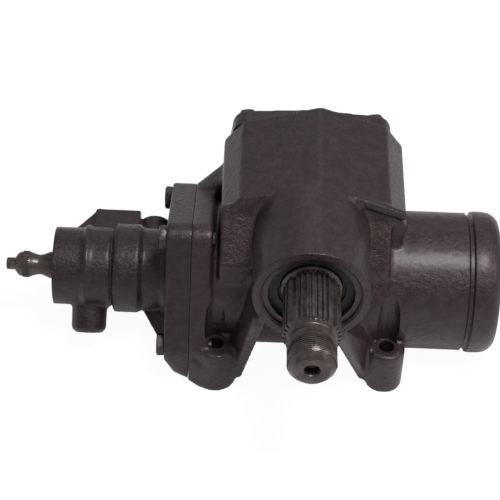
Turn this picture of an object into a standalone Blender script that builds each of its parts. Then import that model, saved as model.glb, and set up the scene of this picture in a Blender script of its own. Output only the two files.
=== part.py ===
"""Recirculating ball power steering gearbox, standing on the flat faces of its mounting bosses.

X runs along the worm and the piston, from the input shaft to the closed end of the cylinder.
The sector shaft runs along Y and comes out towards -Y. The side cover closes the +Y side.
Every size below is measured from the worm axis, at the station of the sector shaft.
An empty then carries the whole gear so that the mounting plane is the floor.
"""

import math

import bmesh
import bpy
from mathutils import Matrix, Vector

MM = 0.001

# How finely round shapes are cut into flats
LARGE_ROUND = 32
BORE_ROUND = 28
MEDIUM_ROUND = 22
SMALL_ROUND = 10
HIDDEN_ROUND = 18

# Clearances between neighbouring pieces, and how far a cutter reaches past a face
CUT_PAST = 1.0 * MM
SEAT_GAP = 0.3 * MM
RUN_GAP = 0.4 * MM
TOOTH_GAP = 0.35 * MM

# Driving sizes of the gear
BORE_RADIUS = 37.5 * MM
CYLINDER_WALL = 7.3 * MM
CYLINDER_END_X = 121.3 * MM
JOINT_FACE_X = -74.1 * MM
SECTOR_RISE = 16.5 * MM
SECTOR_PITCH_RADIUS = 30.0 * MM
SECTOR_FULL_TEETH = 9
SECTOR_TEETH = 3
PRESSURE_ANGLE = math.radians(28.0)
ADDENDUM = 6.0 * MM
DEDENDUM = 7.0 * MM
MOUNT_CLEARANCE = 1.2 * MM

# Cylinder end of the casting
END_RING_HEIGHT = 1.2 * MM
END_RING_WIDTH = 17.0 * MM
END_GROOVE_WIDTH = 3.6 * MM
END_GROOVE_DEPTH = 1.4 * MM

# Sector chamber of the casting
CHAMBER_LEFT_X = -57.0 * MM
CHAMBER_RIGHT_X = 56.0 * MM
CHAMBER_FRONT_Y = -16.0 * MM
COVER_FACE_Y = 63.0 * MM
CHAMBER_BOTTOM_Z = 0.0 * MM
CHAMBER_FOOT_Z = 14.0 * MM
RIGHT_WALL_X = 50.0 * MM
RIGHT_WALL_FOOT = (-35.0 * MM, 38.0 * MM)
LEFT_WALL_X = -34.8 * MM
LEFT_WALL_FOOT = (-38.0 * MM, 40.0 * MM)
RIDGE_X = 4.6 * MM
RIDGE_RISE = 36.0 * MM
FRONT_SHOULDER_RISE = 26.0 * MM
FRONT_LEFT_RISE = 19.0 * MM
BACK_SHOULDER_RISE = 18.0 * MM
SHOULDER_INSET = 12.0 * MM
CHAMBER_BEVEL = 3.0 * MM
POCKET_WALL = 7.0 * MM
POCKET_CLEARANCE = 1.5 * MM
POCKET_SHOULDER_RISE = 4.0 * MM

# Sector shaft boss of the casting
TOWER_WALL = 5.9 * MM
TOWER_FRONT_Y = -77.4 * MM
SEAL_BORE_RADIUS = 30.1 * MM
SEAL_BORE_DEPTH = 16.0 * MM
SEAL_BORE_CHAMFER = 1.0 * MM
TOWER_CHAMFER = 1.2 * MM
SNAP_RING_THICKNESS = 1.8 * MM
SNAP_RING_DEPTH = 1.6 * MM
SNAP_RING_INSET = 2.5 * MM
BEARING_WALL = 4.6 * MM
SEAL_WIDTH = 7.0 * MM
WASHER_WIDTH = 1.6 * MM

# Bolted joint of the two housings
FLANGE_BOLT_REACH = 7.2 * MM
FLANGE_BOLT_ANGLES = (24.0, 114.0, 204.0, 318.0)
FLANGE_CORNER_RADIUS = 10.0 * MM
MAIN_FLANGE_WIDTH = 13.0 * MM
VALVE_FLANGE_WIDTH = 15.1 * MM

# Mounting bosses
BOSS_TOP_Z = -15.0 * MM
RIGHT_BOSS_RADIUS = 12.0 * MM
LEFT_BOSS_RADIUS = 13.5 * MM
BOSS_HOLE_RADIUS = 5.0 * MM
BOSS_RIGHT_X = 52.0 * MM
BOSS_RIGHT_REACH = 2.2 * MM
BOSS_LEFT_X = -57.0 * MM
BOSS_LEFT_REACH = 5.2 * MM
SPOTFACE_RADIUS = 7.5 * MM
SPOTFACE_DEPTH = 0.6 * MM
SPOTFACE_HEIGHT = 36.0 * MM
WEB_THICKNESS = 7.0 * MM
WEB_BEVEL = 1.5 * MM
WEB_SETBACK = 3.0 * MM
LEFT_WEB_TOP = (-31.0 * MM, 32.0 * MM)
RIGHT_WEB_TOP = (19.0 * MM, 24.0 * MM)

# Bolts
BOLT_SHANK_RADIUS = 4.0 * MM
BOLT_HEAD_FLATS = 13.0 * MM
BOLT_HEAD_HEIGHT = 5.3 * MM
BOLT_LENGTH = 30.0 * MM

# Input end closure
LOCKNUT_WIDTH = 4.5 * MM
LOCKNUT_SLOTS = 4
INPUT_SEAL_WIDTH = 3.0 * MM
SEAL_GAP = 0.6 * MM

# Valve housing
NOSE_END_X = -163.7 * MM
NOSE_RADIUS = 25.1 * MM
RIB_RING_X = -142.5 * MM
RIB_RING_RADIUS = 27.2 * MM
BAND_START_X = -125.5 * MM
BAND_END_X = -108.0 * MM
BAND_RADIUS = 28.8 * MM
NECK_RADIUS = 26.4 * MM
VALVE_BORE_RADIUS = 20.0 * MM
PLUG_BORE_RADIUS = 21.6 * MM
PLUG_SHOULDER_X = -150.0 * MM
HEAD_SHOULDER_X = -82.0 * MM
LOW_PORT_X = -138.0 * MM
LOW_PORT_RADIUS = 11.0 * MM
LOW_PORT_END_Y = -46.0 * MM
LOW_PORT_Z = 1.0 * MM
PORT_BLOCK_START_X = -141.0 * MM
PORT_BLOCK_END_X = -111.0 * MM
PORT_BLOCK_END_Y = 48.6 * MM
PORT_BLOCK_TOP_Z = 13.0 * MM
PORT_BLOCK_BOTTOM_Z = -13.0 * MM
PRESSURE_PORT_X = -126.0 * MM
RETURN_PORT_X = -100.5 * MM
RETURN_PORT_END_Y = 41.0 * MM
RETURN_BOSS_RADIUS = 9.5 * MM
PORT_RADIUS = 6.5 * MM
PORT_DEPTH = 17.0 * MM
PORT_DRILL_RADIUS = 2.6 * MM
PORT_SEAT_HEIGHT = 5.0 * MM
NOSE_WEB_INSET = 9.0 * MM
NOSE_WEB_HALF_WIDTH = 8.0 * MM

# Side cover
COVER_THICKNESS = 13.2 * MM
COVER_CORNER_RADIUS = 10.0 * MM
COVER_DOME_RADIUS = 23.0 * MM
COVER_BOLT_PLACES = (
    (42.0 * MM, 10.0 * MM),
    (46.0 * MM, -20.0 * MM),
    (26.0 * MM, -43.0 * MM),
)
COVER_HUB_RADIUS = 25.0 * MM
COVER_HUB_START_Y = 27.0 * MM
GASKET_THICKNESS = 0.9 * MM
GASKET_INSET = 1.0 * MM
COVER_BOSS_RADIUS = 14.0 * MM
COVER_BOSS_HEIGHT = 3.0 * MM
COVER_BEARING_END_Y = 57.0 * MM

# Sector shaft
SECTOR_FRONT_Y = -8.0 * MM
SECTOR_BACK_Y = 22.0 * MM
SECTOR_HUB_RADIUS = 19.0 * MM
SECTOR_SHOULDER = math.radians(6.0)
FLANK_STEPS = 5
SHAFT_RADIUS = 19.0 * MM
COVER_JOURNAL_RADIUS = 16.0 * MM
COVER_JOURNAL_END_Y = 54.0 * MM
SPLINE_RADIUS = 17.5 * MM
SPLINE_DEPTH = 1.3 * MM
SPLINE_TEETH = 32
SPLINE_START_Y = -71.5 * MM
BLIND_SPLINES = 4
SPLINE_END_Y = -111.5 * MM
NUT_GROOVE_END_Y = -115.0 * MM
NUT_GROOVE_RADIUS = 13.6 * MM
NUT_THREAD_RADIUS = 14.9 * MM
SHAFT_END_Y = -138.5 * MM
SHAFT_END_CHAMFER = 3.0 * MM
CENTRE_DRILL_RADIUS = 5.0 * MM
CENTRE_DRILL_DEPTH = 7.0 * MM

# Lash adjuster in the T-slot of the sector shaft
LASH_HEAD_RADIUS = 8.0 * MM
LASH_HEAD_HEIGHT = 4.0 * MM
LASH_SCREW_RADIUS = 5.6 * MM
LASH_SCREW_END_Y = 93.0 * MM
LASH_NUT_FLATS = 18.0 * MM
LASH_NUT_HEIGHT = 6.5 * MM
LASH_HEAD_Y = 47.6 * MM
LASH_SOCKET_RADIUS = 2.6 * MM

# Ball screw
BALL_RADIUS = 2.9 * MM
BALL_CIRCLE_RADIUS = 11.0 * MM
BALL_LEAD = 13.2 * MM
BALLS_PER_TURN = 6
BALL_TURNS = 2
BALL_CIRCUIT_X = -10.0 * MM
HELIX_STEPS = 12
HELIX_SIDES = 6
BALL_GROOVE_GAP = 0.8 * MM
WORM_RADIUS = 10.3 * MM
NUT_BORE_RADIUS = 11.5 * MM
WORM_THREAD_START_X = -50.0 * MM
WORM_THREAD_END_X = 29.0 * MM
WORM_END_X = 46.0 * MM
WORM_HEAD_START_X = -101.4 * MM
WORM_HEAD_END_X = -90.0 * MM
WORM_HEAD_RADIUS = 19.2 * MM
WORM_NECK_RADIUS = 10.8 * MM
TORSION_BORE_RADIUS = 3.2 * MM
TORSION_BAR_RADIUS = 2.5 * MM
TORSION_BAR_START_X = -160.0 * MM
TORSION_BAR_END_X = -60.0 * MM
STUB_SWING = math.radians(7.0)
TANG_HALF_LENGTH = 9.0 * MM
TANG_HALF_WIDTH = 4.4 * MM
TANG_END_X = -96.5 * MM
TANG_SOCKET_DEPTH = 5.6 * MM

# Rack piston
PISTON_START_X = -38.0 * MM
PISTON_END_X = 80.0 * MM
PISTON_LAND_X = 46.0 * MM
PISTON_RELIEF = 0.7 * MM
PISTON_RING_WIDTH = 5.0 * MM
PISTON_RING_DEPTH = 2.6 * MM
NUT_THREAD_END_X = 18.0 * MM
PISTON_BACK_BORE_RADIUS = 15.5 * MM
PISTON_PLUG_LENGTH = 9.0 * MM
GUIDE_RADIUS = 3.4 * MM
GUIDE_Z = -25.0 * MM
GUIDE_POCKET_Z = -20.5 * MM
GUIDE_CLAMP_HALF_WIDTH = 9.0 * MM
GUIDE_CLAMP_THICKNESS = 1.5 * MM

# Cylinder closure
END_PLUG_FACE_X = 104.0 * MM
END_PLUG_LENGTH = 11.0 * MM
END_RING_THICKNESS = 2.6 * MM
END_RING_GROOVE = 2.4 * MM
END_PLUG_STEP = 1.2 * MM
O_RING_RADIUS = 1.6 * MM
O_RING_SIDES = 6

# Input shaft
INPUT_TIP_X = -195.6 * MM
INPUT_TIP_RADIUS = 3.9 * MM
INPUT_BALL_START_X = -189.0 * MM
INPUT_BALL_END_X = -177.0 * MM
INPUT_SPLINE_RADIUS = 8.5 * MM
INPUT_NECK_RADIUS = 6.5 * MM
INPUT_NECK_X = -174.6 * MM
INPUT_FLARE_X = -167.0 * MM
INPUT_SHAFT_RADIUS = 8.8 * MM
SPOOL_RADIUS = 11.0 * MM
SPOOL_END_X = -104.0 * MM
SLEEVE_START_X = -145.5 * MM
SLEEVE_RADIUS = 18.9 * MM
SLEEVE_RINGS = 4
SLEEVE_RING_WIDTH = 2.0 * MM
SLEEVE_RING_DEPTH = 1.6 * MM
SPOOL_START_X = -144.0 * MM
SPOOL_SLOTS = 6

# Sizes that follow from the ones above
CYLINDER_RADIUS = BORE_RADIUS + CYLINDER_WALL
SECTOR_Z = BORE_RADIUS + SECTOR_RISE
RIDGE_Z = SECTOR_Z + RIDGE_RISE
FRONT_SHOULDER_Z = SECTOR_Z + FRONT_SHOULDER_RISE
FRONT_LEFT_Z = SECTOR_Z + FRONT_LEFT_RISE
BACK_SHOULDER_Z = SECTOR_Z + BACK_SHOULDER_RISE
POCKET_SHOULDER_Z = SECTOR_Z + POCKET_SHOULDER_RISE
TOWER_RADIUS = SEAL_BORE_RADIUS + TOWER_WALL
MOUNT_PLANE_Z = -(CYLINDER_RADIUS + MOUNT_CLEARANCE)
END_RING_RADIUS = CYLINDER_RADIUS + END_RING_HEIGHT
FLANGE_BOLT_CIRCLE = CYLINDER_RADIUS + FLANGE_BOLT_REACH
BOSS_RIGHT_Y = CYLINDER_RADIUS + BOSS_RIGHT_REACH
BOSS_LEFT_Y = CYLINDER_RADIUS + BOSS_LEFT_REACH
PISTON_RADIUS = BORE_RADIUS - 2 * RUN_GAP
PISTON_BODY_RADIUS = PISTON_RADIUS - PISTON_RELIEF
SECTOR_TIP_RADIUS = SECTOR_PITCH_RADIUS + ADDENDUM
RACK_TIP_Z = SECTOR_Z - SECTOR_PITCH_RADIUS + ADDENDUM
POCKET_RADIUS = SECTOR_TIP_RADIUS + POCKET_CLEARANCE
POCKET_FRONT_Y = CHAMBER_FRONT_Y + POCKET_WALL
SHAFT_BORE_RADIUS = SHAFT_RADIUS + BEARING_WALL
SEAL_BORE_END_Y = TOWER_FRONT_Y + SEAL_BORE_DEPTH
MAIN_FLANGE_END_X = JOINT_FACE_X + MAIN_FLANGE_WIDTH
VALVE_JOINT_X = JOINT_FACE_X - SEAT_GAP
VALVE_FLANGE_START_X = VALVE_JOINT_X - VALVE_FLANGE_WIDTH
COVER_INNER_Y = COVER_FACE_Y + GASKET_THICKNESS + 2 * SEAT_GAP
COVER_OUTER_Y = COVER_INNER_Y + COVER_THICKNESS
COVER_BOSS_END_Y = COVER_OUTER_Y + COVER_BOSS_HEIGHT
END_PLUG_RADIUS = BORE_RADIUS + END_PLUG_STEP
SNAP_RING_Y = TOWER_FRONT_Y + SNAP_RING_INSET

BLACK_IRON = (0.055, 0.048, 0.044, 1.0)
BLACK_STEEL = (0.075, 0.068, 0.062, 1.0)
BRIGHT_STEEL = (0.45, 0.44, 0.42, 1.0)
SEAL_RUBBER = (0.02, 0.02, 0.02, 1.0)
SEAL_PLASTIC = (0.12, 0.10, 0.07, 1.0)
PLUG_BRASS = (0.55, 0.40, 0.16, 1.0)


def clear_scene():
    for old in list(bpy.data.objects):
        bpy.data.objects.remove(old, do_unlink=True)


def finish_material(name, colour, roughness, metallic):
    finish = bpy.data.materials.new(name)
    finish.use_nodes = True
    shader = finish.node_tree.nodes["Principled BSDF"]
    shader.inputs["Base Color"].default_value = colour
    shader.inputs["Roughness"].default_value = roughness
    shader.inputs["Metallic"].default_value = metallic
    return finish


def mesh_object(name, bm, helper=False):
    """Turns a closed bmesh into an object. A helper is only used by Booleans."""
    bmesh.ops.recalc_face_normals(bm, faces=bm.faces)
    mesh = bpy.data.meshes.new(name)
    bm.to_mesh(mesh)
    bm.free()
    mesh.shade_smooth()
    mesh.set_sharp_from_angle(angle=math.radians(32.0))
    made = bpy.data.objects.new(name, mesh)
    bpy.context.scene.collection.objects.link(made)
    if helper:
        made.hide_render = True
        made.display_type = "WIRE"
    return made


def along(axis):
    """The turn that carries local X onto the named axis."""
    if axis == "Y":
        return Matrix.Rotation(math.radians(90.0), 4, "Z")
    if axis == "Z":
        return Matrix.Rotation(math.radians(-90.0), 4, "Y")
    return Matrix.Identity(4)


def turned(profile, steps=MEDIUM_ROUND, axis="X", centre=(0.0, 0.0, 0.0)):
    """Spins (position, radius) points about an axis. The profile ends on the axis or is a closed ring."""
    bm = bmesh.new()
    corners = [bm.verts.new((place, 0.0, radius)) for place, radius in profile]
    edges = [bm.edges.new(pair) for pair in zip(corners, corners[1:])]
    if profile[0][1] > 0.0:
        edges.append(bm.edges.new((corners[-1], corners[0])))
    bmesh.ops.spin(
        bm,
        geom=corners + edges,
        cent=(0.0, 0.0, 0.0),
        axis=(1.0, 0.0, 0.0),
        angle=math.tau,
        steps=steps,
        use_merge=True,
    )
    bmesh.ops.remove_doubles(bm, verts=bm.verts, dist=0.001 * MM)
    bmesh.ops.transform(bm, matrix=Matrix.Translation(centre) @ along(axis), verts=bm.verts)
    return bm


def rod(start, end, radius, steps=MEDIUM_ROUND, axis="X", centre=(0.0, 0.0, 0.0), chamfer=0.0):
    """A round bar from start to end, with an optional chamfer at both ends."""
    profile = [(start, 0.0), (start, radius - chamfer)]
    if chamfer:
        profile += [(start + chamfer, radius), (end - chamfer, radius)]
    profile += [(end, radius - chamfer), (end, 0.0)]
    if not chamfer:
        profile = [(start, 0.0), (start, radius), (end, radius), (end, 0.0)]
    return turned(profile, steps, axis, centre)


def ring(start, end, inner, outer, steps=MEDIUM_ROUND, axis="X", centre=(0.0, 0.0, 0.0)):
    """A plain ring with a rectangular section."""
    return turned([(start, inner), (start, outer), (end, outer), (end, inner)], steps, axis, centre)


def hull(points, bevel=0.0, segments=1):
    """The convex solid round the points, with its edges rounded by the bevel."""
    bm = bmesh.new()
    corners = [bm.verts.new(point) for point in points]
    made = bmesh.ops.convex_hull(bm, input=corners)
    unused = {
        item
        for item in made["geom_interior"] + made["geom_unused"]
        if isinstance(item, bmesh.types.BMVert)
    }
    bmesh.ops.delete(bm, geom=list(unused), context="VERTS")
    bmesh.ops.dissolve_limit(bm, angle_limit=math.radians(1.0), verts=bm.verts, edges=bm.edges)
    if bevel:
        bmesh.ops.bevel(
            bm,
            geom=list(bm.edges),
            offset=bevel,
            segments=segments,
            profile=0.5,
            affect="EDGES",
            clamp_overlap=True,
        )
    return bm


def box(low, high, bevel=0.0):
    places = [(x, y, z) for x in (low[0], high[0]) for y in (low[1], high[1]) for z in (low[2], high[2])]
    return hull(places, bevel)


def disc_points(centre, radius, axis, steps=SMALL_ROUND):
    """Points of a circle round the centre, in the plane square to the axis."""
    points = []
    for step in range(steps):
        angle = math.tau * (step + 0.5) / steps
        turned_point = along(axis) @ Vector((0.0, radius * math.cos(angle), radius * math.sin(angle)))
        points.append(Vector(centre) + turned_point)
    return points


def hex_prism(outer, inner, flats, axis="X", centre=(0.0, 0.0, 0.0)):
    """A bolt head or nut, with its six corners chamfered at the outer face."""
    radius = flats / math.sqrt(3.0)
    rim = radius * 0.93
    edge = math.copysign((radius - rim) * 0.6, inner - outer)
    return turned(
        [(outer, 0.0), (outer, rim), (outer + edge, radius), (inner, radius), (inner, 0.0)], 6, axis, centre
    )


def joined(name, first, others=(), cuts=(), limits=()):
    """Unites the first bmesh with the others, then cuts, then keeps only what lies inside each limit."""
    made = mesh_object(name, first)
    steps = [("UNION", bm) for bm in others]
    steps += [("DIFFERENCE", bm) for bm in cuts]
    steps += [("INTERSECT", bm) for bm in limits]
    for number, (operation, bm) in enumerate(steps):
        helper = mesh_object(f"{name}_{operation.lower()}_{number}", bm, helper=True)
        modifier = made.modifiers.new(f"{operation.lower()}_{number}", "BOOLEAN")
        modifier.operation = operation
        modifier.solver = "EXACT"
        modifier.object = helper
    return made


def numbered(name, solids):
    """One object for each copy of a repeated piece: name_1, name_2 and so on."""
    return [mesh_object(f"{name}_{number}", bm) for number, bm in enumerate(solids, 1)]


def flange_bolt_places():
    places = []
    for degrees in FLANGE_BOLT_ANGLES:
        angle = math.radians(degrees)
        places.append((FLANGE_BOLT_CIRCLE * math.cos(angle), FLANGE_BOLT_CIRCLE * math.sin(angle)))
    return places


def cover_bolt_places():
    return [(side * x, SECTOR_Z + rise) for side in (-1.0, 1.0) for x, rise in COVER_BOLT_PLACES]


def mount_places():
    """The four mounting bosses, as (x, y, radius)."""
    return [
        (BOSS_LEFT_X, -BOSS_LEFT_Y, LEFT_BOSS_RADIUS),
        (BOSS_RIGHT_X, -BOSS_RIGHT_Y, RIGHT_BOSS_RADIUS),
        (BOSS_LEFT_X, BOSS_LEFT_Y, LEFT_BOSS_RADIUS),
        (BOSS_RIGHT_X, BOSS_RIGHT_Y, RIGHT_BOSS_RADIUS),
    ]


def flange_plate(start, end):
    """The flange of the bolted joint: a rounded corner round each bolt, and the cylinder's own round."""
    points = []
    for x in (start, end):
        points += disc_points((x, 0.0, 0.0), CYLINDER_RADIUS, "X", MEDIUM_ROUND)
        for y, z in flange_bolt_places():
            points += disc_points((x, y, z), FLANGE_CORNER_RADIUS, "X", SMALL_ROUND)
    return hull(points)


def chamber_block():
    """The drafted block round the sector, with a ridge on top and rounded shoulders."""
    points = []
    for y, right_z, left_z in (
        (CHAMBER_FRONT_Y, FRONT_SHOULDER_Z, FRONT_LEFT_Z),
        (COVER_FACE_Y, BACK_SHOULDER_Z, BACK_SHOULDER_Z),
    ):
        points.append((RIDGE_X, y, RIDGE_Z))
        for wall_x, shoulder_z in ((CHAMBER_RIGHT_X, right_z), (CHAMBER_LEFT_X, left_z)):
            slope = (RIDGE_Z - shoulder_z) / (RIDGE_X - wall_x)
            inset_x = wall_x - math.copysign(SHOULDER_INSET, wall_x)
            points.append((inset_x, y, shoulder_z + slope * (inset_x - wall_x)))
            points.append((wall_x, y, shoulder_z - SHOULDER_INSET))
            points.append((wall_x, y, CHAMBER_FOOT_Z))
            points.append((inset_x, y, CHAMBER_BOTTOM_Z))
    return hull(points, CHAMBER_BEVEL, 2)


def cylinder_body():
    """The turned outside of the power cylinder, with the groove before its end ring."""
    groove_end = CYLINDER_END_X - END_RING_WIDTH
    groove_start = groove_end - END_GROOVE_WIDTH
    edge = 1.5 * MM
    return turned(
        [
            (JOINT_FACE_X, 0.0),
            (JOINT_FACE_X, CYLINDER_RADIUS),
            (groove_start, CYLINDER_RADIUS),
            (groove_start + END_GROOVE_DEPTH, CYLINDER_RADIUS - END_GROOVE_DEPTH),
            (groove_end, CYLINDER_RADIUS - END_GROOVE_DEPTH),
            (groove_end + edge, END_RING_RADIUS),
            (CYLINDER_END_X - edge, END_RING_RADIUS),
            (CYLINDER_END_X, END_RING_RADIUS - edge),
            (CYLINDER_END_X, 0.0),
        ],
        LARGE_ROUND,
    )


def sloped_wall(start_x, end_x, top_z, foot):
    """The wall that runs from the chamber's front ledge down to the cylinder."""
    inside_y = CHAMBER_FRONT_Y + POCKET_WALL / 2
    foot_y, foot_z = foot
    points = []
    for x in (start_x, end_x):
        points += [(x, inside_y, top_z), (x, inside_y, 0.0), (x, foot_y, foot_z), (x, foot_y, 0.0)]
    return hull(points, WEB_BEVEL)


def boss_web(tower_top, boss_x, boss_y):
    """A web from the lower side of the sector boss to a mounting boss, down to the mounting plane."""
    tower_x, tower_z = tower_top
    inside_y = -CYLINDER_RADIUS / 2
    points = []
    for offset in (-WEB_THICKNESS / 2, WEB_THICKNESS / 2):
        for y in (TOWER_FRONT_Y + WEB_SETBACK, inside_y):
            points += [(tower_x + offset, y, tower_z), (tower_x + offset, y, tower_z - WEB_THICKNESS)]
        for y in (boss_y, inside_y):
            points += [(boss_x + offset, y, BOSS_TOP_Z), (boss_x + offset, y, MOUNT_PLANE_Z)]
    return hull(points, WEB_BEVEL)


def flange_gusset():
    """The sloping web from the chamber's left wall to the upper corner of the flange."""
    corner_y, corner_z = flange_bolt_places()[0]
    points = disc_points((JOINT_FACE_X, corner_y, corner_z), FLANGE_CORNER_RADIUS, "X", SMALL_ROUND)
    points += disc_points((MAIN_FLANGE_END_X, corner_y, corner_z), FLANGE_CORNER_RADIUS, "X", SMALL_ROUND)
    for y in (corner_y - FLANGE_CORNER_RADIUS, corner_y + FLANGE_CORNER_RADIUS):
        points += [
            (CHAMBER_LEFT_X + CHAMBER_BEVEL, y, z)
            for z in (corner_z, BACK_SHOULDER_Z - 2 * SHOULDER_INSET)
        ]
    return hull(points)


def sector_pocket():
    """The room for the sector's teeth below, for its hub above, open towards the cover."""
    reach = COVER_FACE_Y + CUT_PAST
    lower = rod(POCKET_FRONT_Y, reach, POCKET_RADIUS, MEDIUM_ROUND, "Y", (0.0, 0.0, SECTOR_Z))
    lid = box(
        (-2 * POCKET_RADIUS, POCKET_FRONT_Y - CUT_PAST, POCKET_SHOULDER_Z),
        (2 * POCKET_RADIUS, reach + CUT_PAST, 2 * RIDGE_Z),
    )
    pocket = joined("pocket_shape", lower, (), (lid,))
    bm = evaluated_bmesh(pocket)
    return bm


def evaluated_bmesh(made):
    """The finished shape of a helper object, so that it can be used in another Boolean."""
    bpy.context.view_layer.update()
    shape = made.evaluated_get(bpy.context.evaluated_depsgraph_get())
    bm = bmesh.new()
    bm.from_mesh(shape.to_mesh())
    shape.to_mesh_clear()
    made.hide_render = True
    made.display_type = "WIRE"
    return bm


def piston_bore():
    """The bore through the cylinder, with the seat of the end plug and the groove of its ring."""
    plug_end = END_PLUG_FACE_X + END_PLUG_LENGTH
    past = CUT_PAST
    return turned(
        [
            (JOINT_FACE_X - past, 0.0),
            (JOINT_FACE_X - past, BORE_RADIUS),
            (END_PLUG_FACE_X, BORE_RADIUS),
            (END_PLUG_FACE_X, END_PLUG_RADIUS + SEAT_GAP),
            (plug_end + SEAT_GAP, END_PLUG_RADIUS + SEAT_GAP),
            (plug_end + SEAT_GAP, END_PLUG_RADIUS + END_RING_GROOVE),
            (plug_end + 3 * SEAT_GAP + END_RING_THICKNESS, END_PLUG_RADIUS + END_RING_GROOVE),
            (plug_end + 3 * SEAT_GAP + END_RING_THICKNESS, END_PLUG_RADIUS + SEAT_GAP),
            (CYLINDER_END_X + past, END_PLUG_RADIUS + SEAT_GAP),
            (CYLINDER_END_X + past, 0.0),
        ],
        BORE_ROUND,
    )


def sector_bore():
    """The stepped bore of the sector shaft: bearing seat, seal bore and snap ring groove."""
    past = CUT_PAST
    return turned(
        [
            (POCKET_FRONT_Y + past, 0.0),
            (POCKET_FRONT_Y + past, SHAFT_BORE_RADIUS),
            (SEAL_BORE_END_Y, SHAFT_BORE_RADIUS),
            (SEAL_BORE_END_Y, SEAL_BORE_RADIUS),
            (SNAP_RING_Y + SNAP_RING_THICKNESS + 2 * SEAT_GAP, SEAL_BORE_RADIUS),
            (SNAP_RING_Y + SNAP_RING_THICKNESS + 2 * SEAT_GAP, SEAL_BORE_RADIUS + SNAP_RING_DEPTH),
            (SNAP_RING_Y, SEAL_BORE_RADIUS + SNAP_RING_DEPTH),
            (SNAP_RING_Y, SEAL_BORE_RADIUS),
            (TOWER_FRONT_Y + SEAL_BORE_CHAMFER, SEAL_BORE_RADIUS),
            (TOWER_FRONT_Y - past, SEAL_BORE_RADIUS + SEAL_BORE_CHAMFER + past),
            (TOWER_FRONT_Y - past, 0.0),
        ],
        MEDIUM_ROUND,
        "Y",
        (0.0, 0.0, SECTOR_Z),
    )


def main_housing():
    """The cast housing: power cylinder, sector chamber, sector boss, flange and mounting bosses."""
    tower_root_y = CHAMBER_FRONT_Y + POCKET_WALL / 2
    tower = rod(
        TOWER_FRONT_Y, tower_root_y, TOWER_RADIUS, LARGE_ROUND, "Y", (0.0, 0.0, SECTOR_Z), TOWER_CHAMFER
    )
    others = [
        flange_plate(JOINT_FACE_X, MAIN_FLANGE_END_X),
        chamber_block(),
        tower,
        sloped_wall(0.0, RIGHT_WALL_X, FRONT_SHOULDER_Z - 2 * WEB_BEVEL, RIGHT_WALL_FOOT),
        sloped_wall(CHAMBER_LEFT_X, LEFT_WALL_X, FRONT_LEFT_Z - 2 * WEB_BEVEL, LEFT_WALL_FOOT),
        flange_gusset(),
        boss_web(LEFT_WEB_TOP, BOSS_LEFT_X + LEFT_BOSS_RADIUS, -BOSS_LEFT_Y),
        boss_web(RIGHT_WEB_TOP, BOSS_RIGHT_X - RIGHT_BOSS_RADIUS, -BOSS_RIGHT_Y),
    ]
    hub_room = rod(
        POCKET_FRONT_Y + SEAT_GAP, COVER_FACE_Y + CUT_PAST, COVER_HUB_RADIUS + RUN_GAP, MEDIUM_ROUND, "Y", (
            0.0, 0.0, SECTOR_Z
        )
    )
    cuts = [piston_bore(), sector_pocket(), hub_room, sector_bore()]
    for x, y, radius in mount_places():
        points = []
        for reach_y in (y, math.copysign(CYLINDER_RADIUS / 2, y)):
            points += disc_points((x, reach_y, MOUNT_PLANE_Z), radius, "Z", SMALL_ROUND)
            points += disc_points((x, reach_y, BOSS_TOP_Z), radius, "Z", SMALL_ROUND)
        others.append(hull(points))
        spotface_top = BOSS_TOP_Z + SPOTFACE_HEIGHT
        cuts.append(
            rod(BOSS_TOP_Z - SPOTFACE_DEPTH, spotface_top, SPOTFACE_RADIUS, SMALL_ROUND, "Z", (x, y, 0.0))
        )
        cuts.append(
            rod(
                MOUNT_PLANE_Z - CUT_PAST,
                BOSS_TOP_Z + CUT_PAST,
                BOSS_HOLE_RADIUS,
                SMALL_ROUND,
                "Z",
                (x, y, 0.0),
            ),
        )
    bolt_reach = VALVE_FLANGE_START_X + BOLT_LENGTH + SEAT_GAP
    for y, z in flange_bolt_places():
        hole = rod(
            JOINT_FACE_X - CUT_PAST, bolt_reach, BOLT_SHANK_RADIUS + SEAT_GAP, SMALL_ROUND, "X", (0.0, y, z)
        )
        cuts.append(hole)
    cover_reach = COVER_OUTER_Y - BOLT_LENGTH - SEAT_GAP
    for x, z in cover_bolt_places():
        hole = rod(
            cover_reach,
            COVER_FACE_Y + CUT_PAST,
            BOLT_SHANK_RADIUS + SEAT_GAP,
            SMALL_ROUND,
            "Y",
            (x, 0.0, z),
        )
        cuts.append(hole)
    return joined("main_housing", cylinder_body(), others, cuts)


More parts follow.
